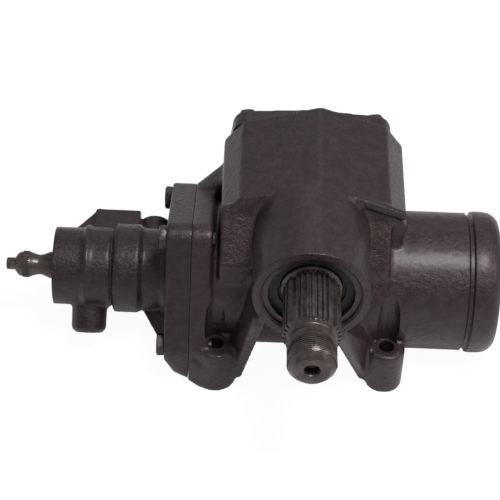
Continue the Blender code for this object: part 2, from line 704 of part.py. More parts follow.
def valve_housing():
    """The cast valve housing: stepped barrel, flange, port block, return boss and blank lug."""
    edge = 1.0 * MM
    barrel = turned(
        [
            (NOSE_END_X, 0.0),
            (NOSE_END_X, NOSE_RADIUS - edge),
            (NOSE_END_X + edge, NOSE_RADIUS),
            (RIB_RING_X - 2.5 * edge, NOSE_RADIUS),
            (RIB_RING_X - edge, RIB_RING_RADIUS),
            (RIB_RING_X + edge, RIB_RING_RADIUS),
            (RIB_RING_X + 2.5 * edge, NOSE_RADIUS + edge),
            (BAND_START_X - 1.5 * edge, NOSE_RADIUS + edge),
            (BAND_START_X - 1.5 * edge, NOSE_RADIUS - edge),
            (BAND_START_X, NOSE_RADIUS - edge),
            (BAND_START_X + edge, BAND_RADIUS),
            (BAND_END_X - edge, BAND_RADIUS),
            (BAND_END_X + 2 * edge, NECK_RADIUS),
            (VALVE_FLANGE_START_X - 4 * edge, NECK_RADIUS),
            (VALVE_FLANGE_START_X + edge, NECK_RADIUS + 5 * edge),
            (VALVE_FLANGE_START_X + edge, 0.0),
        ],
        LARGE_ROUND,
    )
    chamfer = 6.0 * MM
    block_profile = [
        (0.0, PORT_BLOCK_TOP_Z),
        (PORT_BLOCK_END_Y - chamfer, PORT_BLOCK_TOP_Z),
        (PORT_BLOCK_END_Y, PORT_BLOCK_TOP_Z - chamfer),
        (PORT_BLOCK_END_Y, PORT_BLOCK_BOTTOM_Z + chamfer),
        (PORT_BLOCK_END_Y - chamfer, PORT_BLOCK_BOTTOM_Z),
        (0.0, PORT_BLOCK_BOTTOM_Z),
    ]
    block = hull(
        [(x, y, z) for x in (PORT_BLOCK_START_X, PORT_BLOCK_END_X) for y, z in block_profile],
        WEB_BEVEL,
    )
    web_low = (NOSE_END_X + NOSE_WEB_INSET, NOSE_RADIUS - edge)
    web = hull(
        [
            (x, y, z)
            for x, y in (web_low, (web_low[0], 0.0), (PORT_BLOCK_START_X + chamfer, PORT_BLOCK_END_Y - chamfer),
                         (PORT_BLOCK_START_X + chamfer, 0.0))
            for z in (-NOSE_WEB_HALF_WIDTH, NOSE_WEB_HALF_WIDTH)
        ],
        edge,
    )
    return_boss = rod(
        0.0, RETURN_PORT_END_Y, RETURN_BOSS_RADIUS, SMALL_ROUND, "Y", (RETURN_PORT_X, 0.0, 0.0), 1.5 * edge
    )
    lug = rod(
        LOW_PORT_END_Y, 0.0, LOW_PORT_RADIUS, SMALL_ROUND, "Y", (LOW_PORT_X, 0.0, LOW_PORT_Z), 1.5 * edge
    )
    bore = turned(
        [
            (NOSE_END_X - edge, 0.0),
            (NOSE_END_X - edge, PLUG_BORE_RADIUS),
            (PLUG_SHOULDER_X, PLUG_BORE_RADIUS),
            (PLUG_SHOULDER_X, VALVE_BORE_RADIUS),
            (HEAD_SHOULDER_X, VALVE_BORE_RADIUS),
            (HEAD_SHOULDER_X, WORM_NECK_RADIUS + RUN_GAP),
            (VALVE_JOINT_X + edge, WORM_NECK_RADIUS + RUN_GAP),
            (VALVE_JOINT_X + edge, 0.0),
        ],
        LARGE_ROUND,
    )
    cuts = [bore]
    for port_x, port_end in ((PRESSURE_PORT_X, PORT_BLOCK_END_Y), (RETURN_PORT_X, RETURN_PORT_END_Y)):
        mouth = port_end - PORT_DEPTH
        cuts.append(rod(mouth, port_end + edge, PORT_RADIUS, SMALL_ROUND, "Y", (port_x, 0.0, 0.0)))
        cuts.append(
            rod(VALVE_BORE_RADIUS / 2, mouth + 3 * edge, PORT_DRILL_RADIUS, 8, "Y", (port_x, 0.0, 0.0))
        )
    for y, z in flange_bolt_places():
        hole = rod(
            VALVE_FLANGE_START_X - edge,
            VALVE_JOINT_X + edge,
            BOLT_SHANK_RADIUS + SEAT_GAP,
            SMALL_ROUND,
            "X",
            (0.0, y, z),
        )
        cuts.append(hole)
    flange = flange_plate(VALVE_FLANGE_START_X, VALVE_JOINT_X)
    return joined("valve_housing", barrel, [flange, block, web, return_boss, lug], cuts)


def port_seat(name, port_x, port_end):
    """The tapered brass seat pressed into the bottom of a port."""
    bottom = port_end - PORT_DEPTH + SEAT_GAP
    return mesh_object(
        name,
        turned(
            [
                (bottom, PORT_DRILL_RADIUS - 2 * SEAT_GAP),
                (bottom, PORT_RADIUS - SEAT_GAP),
                (bottom + PORT_SEAT_HEIGHT / 2, PORT_RADIUS - SEAT_GAP),
                (bottom + PORT_SEAT_HEIGHT, PORT_DRILL_RADIUS + SEAT_GAP),
                (bottom + PORT_SEAT_HEIGHT, PORT_DRILL_RADIUS - 2 * SEAT_GAP),
            ],
            SMALL_ROUND,
            "Y",
            (port_x, 0.0, 0.0),
        ),
    )


def flange_bolts():
    head_x = VALVE_FLANGE_START_X - SEAT_GAP
    solids = []
    for y, z in flange_bolt_places():
        solids.append(bolt(head_x, 1.0, "X", (0.0, y, z)))
    return numbered("valve_housing_bolt", solids)


def cover_bolts():
    head_y = COVER_OUTER_Y + SEAT_GAP
    return numbered("cover_bolt", [bolt(head_y, -1.0, "Y", (x, 0.0, z)) for x, z in cover_bolt_places()])


def bolt(seat, direction, axis, centre):
    """A hexagon bolt whose shank runs from its seat in the given direction along the axis."""
    top = seat - direction * BOLT_HEAD_HEIGHT
    tip = seat + direction * BOLT_LENGTH
    root = seat - direction * BOLT_HEAD_HEIGHT / 2
    head = hex_prism(top, seat, BOLT_HEAD_FLATS, axis, centre)
    shank = turned(
        [(root, 0.0), (root, BOLT_SHANK_RADIUS), (tip, BOLT_SHANK_RADIUS), (tip, 0.0)],
        SMALL_ROUND,
        axis,
        centre,
    )
    helper = joined(f"bolt_helper_{len(bpy.data.objects)}", head, (shank,))
    return evaluated_bmesh(helper)


def cover_outline(start, end, corner_radius, dome_radius):
    points = []
    for y in (start, end):
        points += disc_points((0.0, y, SECTOR_Z), dome_radius, "Y", SMALL_ROUND)
        for x, z in cover_bolt_places():
            points += disc_points((x, y, z), corner_radius, "Y", SMALL_ROUND)
    return hull(points)


def side_cover():
    """The side cover, with the inward hub that carries the shaft's inner bearing."""
    hub = rod(
        COVER_HUB_START_Y,
        COVER_INNER_Y + COVER_THICKNESS / 2,
        COVER_HUB_RADIUS,
        MEDIUM_ROUND,
        "Y",
        (0.0, 0.0, SECTOR_Z),
    )
    dome = rod(
        COVER_OUTER_Y - COVER_THICKNESS / 2, COVER_BOSS_END_Y, COVER_BOSS_RADIUS, MEDIUM_ROUND, "Y", (0.0, 0.0, SECTOR_Z), 2 * MM
    )
    bore = turned(
        [
            (COVER_HUB_START_Y - CUT_PAST, 0.0),
            (COVER_HUB_START_Y - CUT_PAST, COVER_JOURNAL_RADIUS + BEARING_WALL),
            (COVER_BEARING_END_Y, COVER_JOURNAL_RADIUS + BEARING_WALL),
            (COVER_BEARING_END_Y, LASH_SCREW_RADIUS + RUN_GAP),
            (COVER_BOSS_END_Y + CUT_PAST, LASH_SCREW_RADIUS + RUN_GAP),
            (COVER_BOSS_END_Y + CUT_PAST, 0.0),
        ],
        MEDIUM_ROUND,
        "Y",
        (0.0, 0.0, SECTOR_Z),
    )
    cuts = [bore]
    for x, z in cover_bolt_places():
        low, high = COVER_INNER_Y - CUT_PAST, COVER_OUTER_Y + CUT_PAST
        cuts.append(rod(low, high, BOLT_SHANK_RADIUS + SEAT_GAP, SMALL_ROUND, "Y", (x, 0.0, z)))
    plate = cover_outline(COVER_INNER_Y, COVER_OUTER_Y, COVER_CORNER_RADIUS, COVER_DOME_RADIUS)
    return joined("side_cover", plate, [hub, dome], cuts)


def cover_gasket():
    start = COVER_FACE_Y + SEAT_GAP
    end = start + GASKET_THICKNESS
    plate = cover_outline(start, end, COVER_CORNER_RADIUS - GASKET_INSET, COVER_DOME_RADIUS - GASKET_INSET)
    cuts = [
        rod(
            start - CUT_PAST,
            end + CUT_PAST,
            COVER_HUB_RADIUS + RUN_GAP,
            MEDIUM_ROUND,
            "Y",
            (0.0, 0.0, SECTOR_Z),
        ),
    ]
    for x, z in cover_bolt_places():
        cuts.append(
            rod(
                start - CUT_PAST,
                end + CUT_PAST,
                BOLT_SHANK_RADIUS + SEAT_GAP,
                SMALL_ROUND,
                "Y",
                (x, 0.0, z),
            ),
        )
    return joined("cover_gasket", plate, (), cuts)


def lash_adjuster():
    """The adjusting screw: its round head turns freely in the T-slot of the sector shaft."""
    head_end = LASH_HEAD_Y + LASH_HEAD_HEIGHT
    tip_edge = 1.0 * MM
    return mesh_object(
        "lash_adjuster_screw",
        turned(
            [
                (LASH_HEAD_Y, 0.0),
                (LASH_HEAD_Y, LASH_HEAD_RADIUS),
                (head_end, LASH_HEAD_RADIUS),
                (head_end, LASH_SCREW_RADIUS),
                (LASH_SCREW_END_Y - tip_edge, LASH_SCREW_RADIUS),
                (LASH_SCREW_END_Y, LASH_SCREW_RADIUS - tip_edge),
                (LASH_SCREW_END_Y, LASH_SOCKET_RADIUS),
                (LASH_SCREW_END_Y - 4 * tip_edge, LASH_SOCKET_RADIUS),
                (LASH_SCREW_END_Y - 4 * tip_edge, 0.0),
            ],
            SMALL_ROUND,
            "Y",
            (0.0, 0.0, SECTOR_Z),
        ),
    )


def lash_locknut():
    inner = COVER_BOSS_END_Y + SEAT_GAP
    outer = inner + LASH_NUT_HEIGHT
    centre = (0.0, 0.0, SECTOR_Z)
    hole = rod(inner - CUT_PAST, outer + CUT_PAST, LASH_SCREW_RADIUS + SEAT_GAP, SMALL_ROUND, "Y", centre)
    return joined(
        "lash_adjuster_locknut", hex_prism(outer, inner, LASH_NUT_FLATS, "Y", centre), (), (hole,)
    )


def needle_bearing(name, start, end, shaft_radius, axis, centre):
    """A closed drawn-cup needle bearing: a thin cup with a lip at each end."""
    inner = shaft_radius + RUN_GAP
    outer = shaft_radius + BEARING_WALL - SEAT_GAP
    lip = 1.0 * MM
    relief = inner + 0.6 * MM
    profile = [
        (start, inner),
        (start, outer),
        (end, outer),
        (end, inner),
        (end - lip, inner),
        (end - lip, relief),
        (start + lip, relief),
        (start + lip, inner),
    ]
    return mesh_object(name, turned(profile, HIDDEN_ROUND, axis, centre))


def sector_seals():
    """The lip seal, its backup washer and the snap ring in the seal bore."""
    centre = (0.0, 0.0, SECTOR_Z)
    outer = SEAL_BORE_RADIUS - SEAT_GAP
    seal_end = SEAL_BORE_END_Y - SEAT_GAP
    seal_start = seal_end - SEAL_WIDTH
    inner = SHAFT_RADIUS + RUN_GAP
    step = 1.6 * MM
    mesh_object(
        "sector_shaft_seal",
        turned(
            [
                (seal_start, inner),
                (seal_start, inner + 2 * step),
                (seal_start + step, inner + 3 * step),
                (seal_start, outer - step),
                (seal_start, outer),
                (seal_end, outer),
                (seal_end, inner + step),
                (seal_end - step, inner + step),
            ],
            MEDIUM_ROUND,
            "Y",
            centre,
        ),
    )
    washer_end = seal_start - SEAT_GAP
    washer = ring(washer_end - WASHER_WIDTH, washer_end, inner + step, outer, MEDIUM_ROUND, "Y", centre)
    mesh_object("sector_backup_washer", washer)
    snap_start = SNAP_RING_Y + SEAT_GAP
    snap_end = snap_start + SNAP_RING_THICKNESS
    snap = ring(
        snap_start,
        snap_end,
        outer - 2 * SNAP_RING_DEPTH,
        outer + SNAP_RING_DEPTH - SEAT_GAP,
        MEDIUM_ROUND,
        "Y",
        centre,
    )
    gap = box(
        (-SNAP_RING_DEPTH, snap_start - step, SECTOR_Z - 2 * SEAL_BORE_RADIUS),
        (SNAP_RING_DEPTH, snap_end + step, SECTOR_Z),
    )
    joined("sector_snap_ring", snap, (), (gap,))


def end_plug():
    """The plug that closes the cylinder, with a groove for its O-ring and a hollow outer face."""
    start = END_PLUG_FACE_X + SEAT_GAP
    end = END_PLUG_FACE_X + END_PLUG_LENGTH
    outer = END_PLUG_RADIUS
    groove = O_RING_RADIUS * 2
    middle = (start + end) / 2
    mesh_object(
        "cylinder_end_plug",
        turned(
            [
                (start, 0.0),
                (start, outer),
                (middle - O_RING_RADIUS - SEAT_GAP, outer),
                (middle - O_RING_RADIUS - SEAT_GAP, outer - groove),
                (middle + O_RING_RADIUS + SEAT_GAP, outer - groove),
                (middle + O_RING_RADIUS + SEAT_GAP, outer),
                (end, outer),
                (end, outer * 0.72),
                (end - 4 * MM, outer * 0.66),
                (end - 4 * MM, outer * 0.2),
                (end + 1 * MM, outer * 0.16),
                (end + 1 * MM, 0.0),
            ],
            MEDIUM_ROUND,
        ),
    )
    section = []
    for step in range(O_RING_SIDES):
        angle = math.tau * step / O_RING_SIDES
        radius = outer - groove + SEAT_GAP + O_RING_RADIUS + (O_RING_RADIUS - SEAT_GAP / 2) * math.sin(
            angle
        )
        section.append((middle + (O_RING_RADIUS - SEAT_GAP / 2) * math.cos(angle), radius))
    mesh_object("end_plug_o_ring", turned(section, MEDIUM_ROUND))
    ring_start = end + 2 * SEAT_GAP
    retainer = ring(
        ring_start, ring_start + END_RING_THICKNESS, outer - END_RING_GROOVE, outer + END_RING_GROOVE - SEAT_GAP, 48
    )
    gap = box((ring_start - 1 * MM, -3 * MM, 0.0), (ring_start + 2 * END_RING_THICKNESS, 3 * MM, 2 * outer))
    joined("end_retaining_ring", retainer, (), (gap,))


def adjuster_plug():
    """The input end: bearing adjuster plug, its slotted locknut, the lip seal and the dust seal."""
    outer = PLUG_BORE_RADIUS - SEAT_GAP
    plug_end = PLUG_SHOULDER_X - SEAT_GAP
    nut_start = NOSE_END_X + SEAT_GAP
    nut_end = nut_start + LOCKNUT_WIDTH
    plug_start = nut_end + SEAT_GAP
    bearing_outer = INPUT_SHAFT_RADIUS + BEARING_WALL
    mesh_object("adjuster_plug", ring(plug_start, plug_end, bearing_outer, outer, HIDDEN_ROUND))
    slots = []
    for number in range(LOCKNUT_SLOTS):
        turn = Matrix.Rotation(math.tau * number / LOCKNUT_SLOTS, 4, "X")
        slot = box(
            (nut_start - 1 * MM, -2 * MM, outer - 3 * MM), (nut_start + 2.4 * MM, 2 * MM, outer + 2 * MM)
        )
        bmesh.ops.transform(slot, matrix=turn, verts=slot.verts)
        slots.append(slot)
    joined(
        "adjuster_locknut",
        ring(nut_start, nut_end, bearing_outer + SEAT_GAP, outer, HIDDEN_ROUND),
        (),
        slots,
    )
    needle_bearing(
        "input_shaft_bearing", plug_start + SEAL_GAP, plug_end, INPUT_SHAFT_RADIUS, "X", (0.0, 0.0, 0.0)
    )
    inner = INPUT_SHAFT_RADIUS + RUN_GAP
    seal_outer = bearing_outer - SEAT_GAP
    seal_end = plug_start + SEAL_GAP - SEAT_GAP
    mesh_object(
        "input_shaft_seal",
        turned(
            [
                (seal_end - INPUT_SEAL_WIDTH, inner + 1 * MM),
                (seal_end - INPUT_SEAL_WIDTH, seal_outer),
                (seal_end, seal_outer),
                (seal_end, inner + 1 * MM),
                (seal_end - INPUT_SEAL_WIDTH / 2, inner),
            ],
            HIDDEN_ROUND,
        ),
    )
    dust_end = seal_end - INPUT_SEAL_WIDTH - SEAT_GAP
    mesh_object(
        "input_dust_seal",
        turned(
            [
                (NOSE_END_X, inner + 0.6 * MM),
                (NOSE_END_X - 0.8 * MM, inner + 1.6 * MM),
                (NOSE_END_X, seal_outer),
                (dust_end, seal_outer),
                (dust_end, inner),
            ],
            HIDDEN_ROUND,
        ),
    )


def thrust_bearing(name, start, end, inner, outer):
    """Two thrust washers with the needle cage between them, as one flat stack."""
    cage = (end - start) / 3
    step = 0.8 * MM
    return mesh_object(
        name,
        turned(
            [
                (start, inner),
                (start, outer),
                (start + cage, outer),
                (start + cage, outer - step),
                (end - cage, outer - step),
                (end - cage, outer),
                (end, outer),
                (end, inner),
            ],
            HIDDEN_ROUND,
        ),
    )


def input_shaft():
    """The stub shaft: pilot tip, short splined head, neck, seal land and the spool with its slots."""
    edge = 0.8 * MM
    head_edge = 2.2 * MM
    shaft = turned(
        [
            (INPUT_TIP_X, 0.0),
            (INPUT_TIP_X, INPUT_TIP_RADIUS - edge),
            (INPUT_TIP_X + edge, INPUT_TIP_RADIUS),
            (INPUT_BALL_START_X, INPUT_TIP_RADIUS),
            (INPUT_BALL_START_X + edge, INPUT_TIP_RADIUS + edge),
            (INPUT_BALL_START_X + head_edge + edge, INPUT_SPLINE_RADIUS),
            (INPUT_BALL_END_X - head_edge, INPUT_SPLINE_RADIUS),
            (INPUT_BALL_END_X, INPUT_NECK_RADIUS + edge),
            (INPUT_NECK_X, INPUT_NECK_RADIUS),
            (INPUT_FLARE_X, INPUT_SHAFT_RADIUS),
            (SPOOL_START_X, INPUT_SHAFT_RADIUS),
            (SPOOL_START_X, SPOOL_RADIUS),
            (SPOOL_END_X, SPOOL_RADIUS),
            (SPOOL_END_X, 0.0),
        ],
        MEDIUM_ROUND,
    )
    tang = box(
        (SPOOL_END_X - edge, -TANG_HALF_LENGTH, -TANG_HALF_WIDTH),
        (TANG_END_X, TANG_HALF_LENGTH, TANG_HALF_WIDTH),
    )
    bar_bore = rod(TORSION_BAR_START_X - SEAT_GAP, TANG_END_X + edge, TORSION_BORE_RADIUS, SMALL_ROUND)
    cuts = [bar_bore]
    for number in range(SPOOL_SLOTS):
        turn = Matrix.Rotation(math.tau * (number + 0.5) / SPOOL_SLOTS, 4, "X")
        low = (SLEEVE_START_X + 8 * MM, -1.6 * MM, SPOOL_RADIUS - 1.2 * MM)
        slot = box(low, (SPOOL_END_X - 8 * MM, 1.6 * MM, SPOOL_RADIUS + 1.2 * MM))
        bmesh.ops.transform(slot, matrix=turn, verts=slot.verts)
        cuts.append(slot)
    return joined("input_shaft", shaft, (tang,), cuts)


def torsion_bar():
    """The spring between the stub shaft and the worm: two stout ends and a thin middle."""
    end_length = 9.0 * MM
    taper = 2.0 * MM
    return mesh_object(
        "torsion_bar",
        turned(
            [
                (TORSION_BAR_START_X, 0.0),
                (TORSION_BAR_START_X, TORSION_BORE_RADIUS - SEAT_GAP),
                (TORSION_BAR_START_X + end_length, TORSION_BORE_RADIUS - SEAT_GAP),
                (TORSION_BAR_START_X + end_length + taper, TORSION_BAR_RADIUS),
                (TORSION_BAR_END_X - end_length - taper, TORSION_BAR_RADIUS),
                (TORSION_BAR_END_X - end_length, TORSION_BORE_RADIUS - SEAT_GAP),
                (TORSION_BAR_END_X, TORSION_BORE_RADIUS - SEAT_GAP),
                (TORSION_BAR_END_X, 0.0),
            ],
            SMALL_ROUND,
        ),
    )


def valve_sleeve():
    """The valve body that turns with the worm, with a groove for each sealing ring and oil gallery."""
    start, end = SLEEVE_START_X, WORM_HEAD_START_X - SEAT_GAP
    pitch = (end - start) / SLEEVE_RINGS
    outer = [(start, SLEEVE_RADIUS)]
    rings = []
    for number in range(SLEEVE_RINGS):
        left = start + pitch * (number + 0.5) - SLEEVE_RING_WIDTH / 2
        right = left + SLEEVE_RING_WIDTH
        floor = SLEEVE_RADIUS - SLEEVE_RING_DEPTH
        outer += [
            (left - SEAT_GAP, SLEEVE_RADIUS),
            (left - SEAT_GAP, floor),
            (right + SEAT_GAP, floor),
            (right + SEAT_GAP, SLEEVE_RADIUS),
        ]
        rings.append(ring(left, right, floor + SEAT_GAP, VALVE_BORE_RADIUS - RUN_GAP, HIDDEN_ROUND))
    outer.append((end, SLEEVE_RADIUS))
    inner = SPOOL_RADIUS + RUN_GAP
    numbered("sleeve_seal_ring", rings)
    return mesh_object("valve_sleeve", turned([(start, inner)] + outer + [(end, inner)], HIDDEN_ROUND))


def helix_point(angle, radius):
    """A point of the ball path: right-handed, through the middle of the ball circuit."""
    return Vector(
        (BALL_CIRCUIT_X + BALL_LEAD * angle / math.tau, radius * math.cos(angle), radius * math.sin(angle))
    )


def ball_groove(start_x, end_x):
    """The round groove that the balls roll in, as a closed helical bar for cutting."""
    groove = BALL_RADIUS + BALL_GROOVE_GAP
    path_radius = BALL_CIRCLE_RADIUS / math.cos(math.pi / HELIX_STEPS)
    first = math.floor((start_x - BALL_CIRCUIT_X) / BALL_LEAD * HELIX_STEPS)
    last = math.ceil((end_x - BALL_CIRCUIT_X) / BALL_LEAD * HELIX_STEPS)
    bm = bmesh.new()
    rings = []
    for step in range(first, last + 1):
        angle = math.tau * step / HELIX_STEPS
        section = []
        for side in range(HELIX_SIDES):
            tilt = math.tau * side / HELIX_SIDES
            radius = path_radius + groove * math.cos(tilt)
            place = helix_point(angle, radius) + Vector((groove * math.sin(tilt), 0.0, 0.0))
            section.append(bm.verts.new(place))
        rings.append(section)
    for near, far in zip(rings, rings[1:]):
        for side in range(HELIX_SIDES):
            after = (side + 1) % HELIX_SIDES
            bm.faces.new((near[side], near[after], far[after], far[side]))
    bm.faces.new(rings[0])
    bm.faces.new(rings[-1])
    return bm


def worm_shaft():
    """The worm: valve head with the tang socket, neck, ball screw and the bore of the torsion bar."""
    edge = 1.5 * MM
    shaft = turned(
        [
            (WORM_HEAD_START_X, 0.0),
            (WORM_HEAD_START_X, WORM_HEAD_RADIUS),
            (WORM_HEAD_END_X, WORM_HEAD_RADIUS),
            (WORM_HEAD_END_X, WORM_NECK_RADIUS),
            (JOINT_FACE_X + 2 * edge, WORM_NECK_RADIUS),
            (JOINT_FACE_X + 3 * edge, WORM_RADIUS),
            (WORM_END_X - edge, WORM_RADIUS),
            (WORM_END_X, WORM_RADIUS - edge),
            (WORM_END_X, 0.0),
        ],
        MEDIUM_ROUND,
    )
    head_y = math.hypot(TANG_HALF_LENGTH, TANG_HALF_WIDTH) + RUN_GAP
    head_z = TANG_HALF_WIDTH * math.cos(STUB_SWING) + TANG_HALF_LENGTH * math.sin(STUB_SWING) + RUN_GAP
    socket = box(
        (WORM_HEAD_START_X - edge, -head_y, -head_z), (
            WORM_HEAD_START_X + TANG_SOCKET_DEPTH, head_y, head_z
        )
    )
    bar_bore = rod(
        WORM_HEAD_START_X - edge, TORSION_BAR_END_X + edge, TORSION_BORE_RADIUS + SEAT_GAP, SMALL_ROUND
    )
    groove = ball_groove(WORM_THREAD_START_X, WORM_THREAD_END_X)
    return joined("worm_shaft", shaft, (), (socket, bar_bore, groove))


def rack_valley(number):
    """The trapezoid gap between two rack teeth, as a cutter."""
    pitch = math.tau * SECTOR_PITCH_RADIUS / SECTOR_FULL_TEETH
    pitch_z = SECTOR_Z - SECTOR_PITCH_RADIUS
    half = pitch / 4 + TOOTH_GAP / 2
    slope = math.tan(PRESSURE_ANGLE)
    top = ADDENDUM + 2 * MM
    points = []
    for y in (-BORE_RADIUS, BORE_RADIUS):
        for height in (-DEDENDUM, top):
            reach = half + height * slope
            points += [
                (number * pitch - reach, y, pitch_z + height), (number * pitch + reach, y, pitch_z + height)
            ]
    return hull(points)


def circuit_ends():
    """Where the two ends of the ball circuit leave the nut, at its lower side."""
    half = BALL_TURNS / 2 * BALL_LEAD
    quarter = BALL_LEAD / 4
    return BALL_CIRCUIT_X - half - quarter, BALL_CIRCUIT_X + half - quarter


def rack_piston():
    """The piston with the rack cut across its top and the ball nut bored through its middle."""
    ring_start = (PISTON_LAND_X + PISTON_END_X - PISTON_RING_WIDTH) / 2
    ring_end = ring_start + PISTON_RING_WIDTH
    floor = PISTON_RADIUS - PISTON_RING_DEPTH
    edge = 1.0 * MM
    body = turned(
        [
            (PISTON_START_X, 0.0),
            (PISTON_START_X, PISTON_BODY_RADIUS - edge),
            (PISTON_START_X + edge, PISTON_BODY_RADIUS),
            (PISTON_LAND_X - edge, PISTON_BODY_RADIUS),
            (PISTON_LAND_X, PISTON_RADIUS),
            (ring_start, PISTON_RADIUS),
            (ring_start, floor),
            (ring_end, floor),
            (ring_end, PISTON_RADIUS),
            (PISTON_END_X - edge, PISTON_RADIUS),
            (PISTON_END_X, PISTON_RADIUS - edge),
            (PISTON_END_X, 0.0),
        ],
        LARGE_ROUND,
    )
    past = 2 * MM
    flat = box(
        (PISTON_START_X - past, -BORE_RADIUS, RACK_TIP_Z),
        (PISTON_LAND_X - edge, BORE_RADIUS, BORE_RADIUS + past),
    )
    half_count = SECTOR_TEETH // 2
    valleys = [rack_valley(number) for number in range(-half_count, half_count + 1)]
    bore = rod(PISTON_START_X - past, PISTON_END_X + past, NUT_BORE_RADIUS, MEDIUM_ROUND)
    back_bore = rod(NUT_THREAD_END_X, PISTON_END_X + past, PISTON_BACK_BORE_RADIUS, MEDIUM_ROUND)
    low_x, high_x = circuit_ends()
    groove = ball_groove(low_x - BALL_LEAD / 2, high_x + BALL_LEAD / 2)
    reach = GUIDE_CLAMP_HALF_WIDTH + SEAT_GAP
    pocket = box(
        (low_x - reach, -reach, -BORE_RADIUS - past), (high_x + reach, reach, GUIDE_POCKET_Z)
    )
    cuts = [flat] + valleys + [bore, back_bore, groove, pocket]
    for x in (low_x, high_x):
        cuts.append(
            rod(
                GUIDE_POCKET_Z - past,
                -NUT_BORE_RADIUS + past,
                GUIDE_RADIUS + SEAT_GAP,
                SMALL_ROUND,
                "Z",
                (x, 0.0, 0.0),
            ),
        )
    made = joined("rack_piston", body, (), cuts)
    seal = ring(
        ring_start + SEAT_GAP, ring_end - SEAT_GAP, floor + SEAT_GAP, BORE_RADIUS - RUN_GAP, LARGE_ROUND
    )
    mesh_object("piston_ring", seal)
    plug_end = PISTON_END_X - SEAT_GAP
    plug = rod(
        plug_end - PISTON_PLUG_LENGTH,
        plug_end,
        PISTON_BACK_BORE_RADIUS - SEAT_GAP,
        MEDIUM_ROUND,
        chamfer=edge,
    )
    square = box((plug_end - PISTON_PLUG_LENGTH / 2, -6 * MM, -6 * MM), (plug_end + past, 6 * MM, 6 * MM))
    joined("rack_piston_end_plug", plug, (), (square,))
    return made


def ball_guide():
    """The bent tube that returns the balls, and the clamp that holds it in the piston's pocket."""
    low_x, high_x = circuit_ends()
    top = -NUT_BORE_RADIUS - BALL_RADIUS - 2 * RUN_GAP
    leg_radius = GUIDE_RADIUS - SEAT_GAP / 2
    legs = [rod(GUIDE_Z, top, leg_radius, SMALL_ROUND, "Z", (x, 0.0, 0.0)) for x in (low_x, high_x)]
    bridge = rod(
        low_x - GUIDE_RADIUS,
        high_x + GUIDE_RADIUS,
        GUIDE_RADIUS,
        SMALL_ROUND,
        "X",
        (0.0, 0.0, GUIDE_Z),
        1.2 * MM,
    )
    joined("ball_return_guide", bridge, legs)
    start, end = low_x + 2 * GUIDE_RADIUS, high_x - 2 * GUIDE_RADIUS
    reach = GUIDE_CLAMP_HALF_WIDTH
    outer = GUIDE_RADIUS + SEAT_GAP + GUIDE_CLAMP_THICKNESS
    foot_z = GUIDE_POCKET_Z - SEAT_GAP
    foot = box((start, -reach, foot_z - GUIDE_CLAMP_THICKNESS), (end, reach, foot_z))
    arch = rod(start, end, outer, SMALL_ROUND, "X", (0.0, 0.0, GUIDE_Z))
    room = rod(start - 1 * MM, end + 1 * MM, GUIDE_RADIUS + SEAT_GAP, SMALL_ROUND, "X", (0.0, 0.0, GUIDE_Z))
    slot = box(
        (start - 1 * MM, -GUIDE_RADIUS - SEAT_GAP, GUIDE_Z), (end + 1 * MM, GUIDE_RADIUS + SEAT_GAP, 0.0)
    )
    level = box((start - 1 * MM, -BORE_RADIUS, foot_z), (end + 1 * MM, BORE_RADIUS, 0.0))
    joined("ball_guide_clamp", foot, (arch,), (room, slot, level))


def recirculating_balls():
    """The balls that carry the load between the worm and the nut."""
    count = BALLS_PER_TURN * BALL_TURNS
    start = -math.pi * BALL_TURNS - math.pi / 2
    solids = []
    for number in range(count):
        angle = start + math.tau * (number + 0.5) / BALLS_PER_TURN
        place = Matrix.Translation(helix_point(angle, BALL_CIRCLE_RADIUS))
        ball = bmesh.new()
        bmesh.ops.create_uvsphere(ball, u_segments=6, v_segments=4, radius=BALL_RADIUS, matrix=place)
        solids.append(ball)
    return numbered("recirculating_ball", solids)


def involute(angle):
    return math.tan(angle) - angle


def sector_outline():
    """The outline of the toothed sector, seen along its shaft, with the middle tooth pointing down."""
    base_radius = SECTOR_PITCH_RADIUS * math.cos(PRESSURE_ANGLE)
    root_radius = SECTOR_PITCH_RADIUS - DEDENDUM
    spacing = math.tau / SECTOR_FULL_TEETH
    half_at_pitch = spacing / 4 - TOOTH_GAP / 2 / SECTOR_PITCH_RADIUS
    flank = []
    for step in range(FLANK_STEPS + 1):
        radius = base_radius + (SECTOR_TIP_RADIUS - base_radius) * step / FLANK_STEPS
        pressure = math.acos(min(1.0, base_radius / radius))
        flank.append((radius, half_at_pitch + involute(PRESSURE_ANGLE) - involute(pressure)))
    flank.insert(0, (root_radius, flank[0][1]))
    polar = []
    half_count = SECTOR_TEETH // 2
    for number in range(-half_count, half_count + 1):
        middle = spacing * number
        polar += [(radius, middle - half) for radius, half in flank]
        polar += [(radius, middle + half) for radius, half in reversed(flank)]
    edge_angle = polar[-1][1] + SECTOR_SHOULDER
    hub_steps = 16
    for step in range(hub_steps + 1):
        angle = edge_angle + (math.tau - 2 * edge_angle) * step / hub_steps
        polar.append((SECTOR_HUB_RADIUS, angle))
    return [(radius * math.sin(angle), SECTOR_Z - radius * math.cos(angle)) for radius, angle in polar]


def prism(outline, start, end):
    """An outline of (x, z) points drawn out along Y."""
    bm = bmesh.new()
    face = bm.faces.new([bm.verts.new((x, start, z)) for x, z in outline])
    drawn = bmesh.ops.extrude_face_region(bm, geom=[face])
    moved = [item for item in drawn["geom"] if isinstance(item, bmesh.types.BMVert)]
    bmesh.ops.translate(bm, verts=moved, vec=(0.0, end - start, 0.0))
    return bm


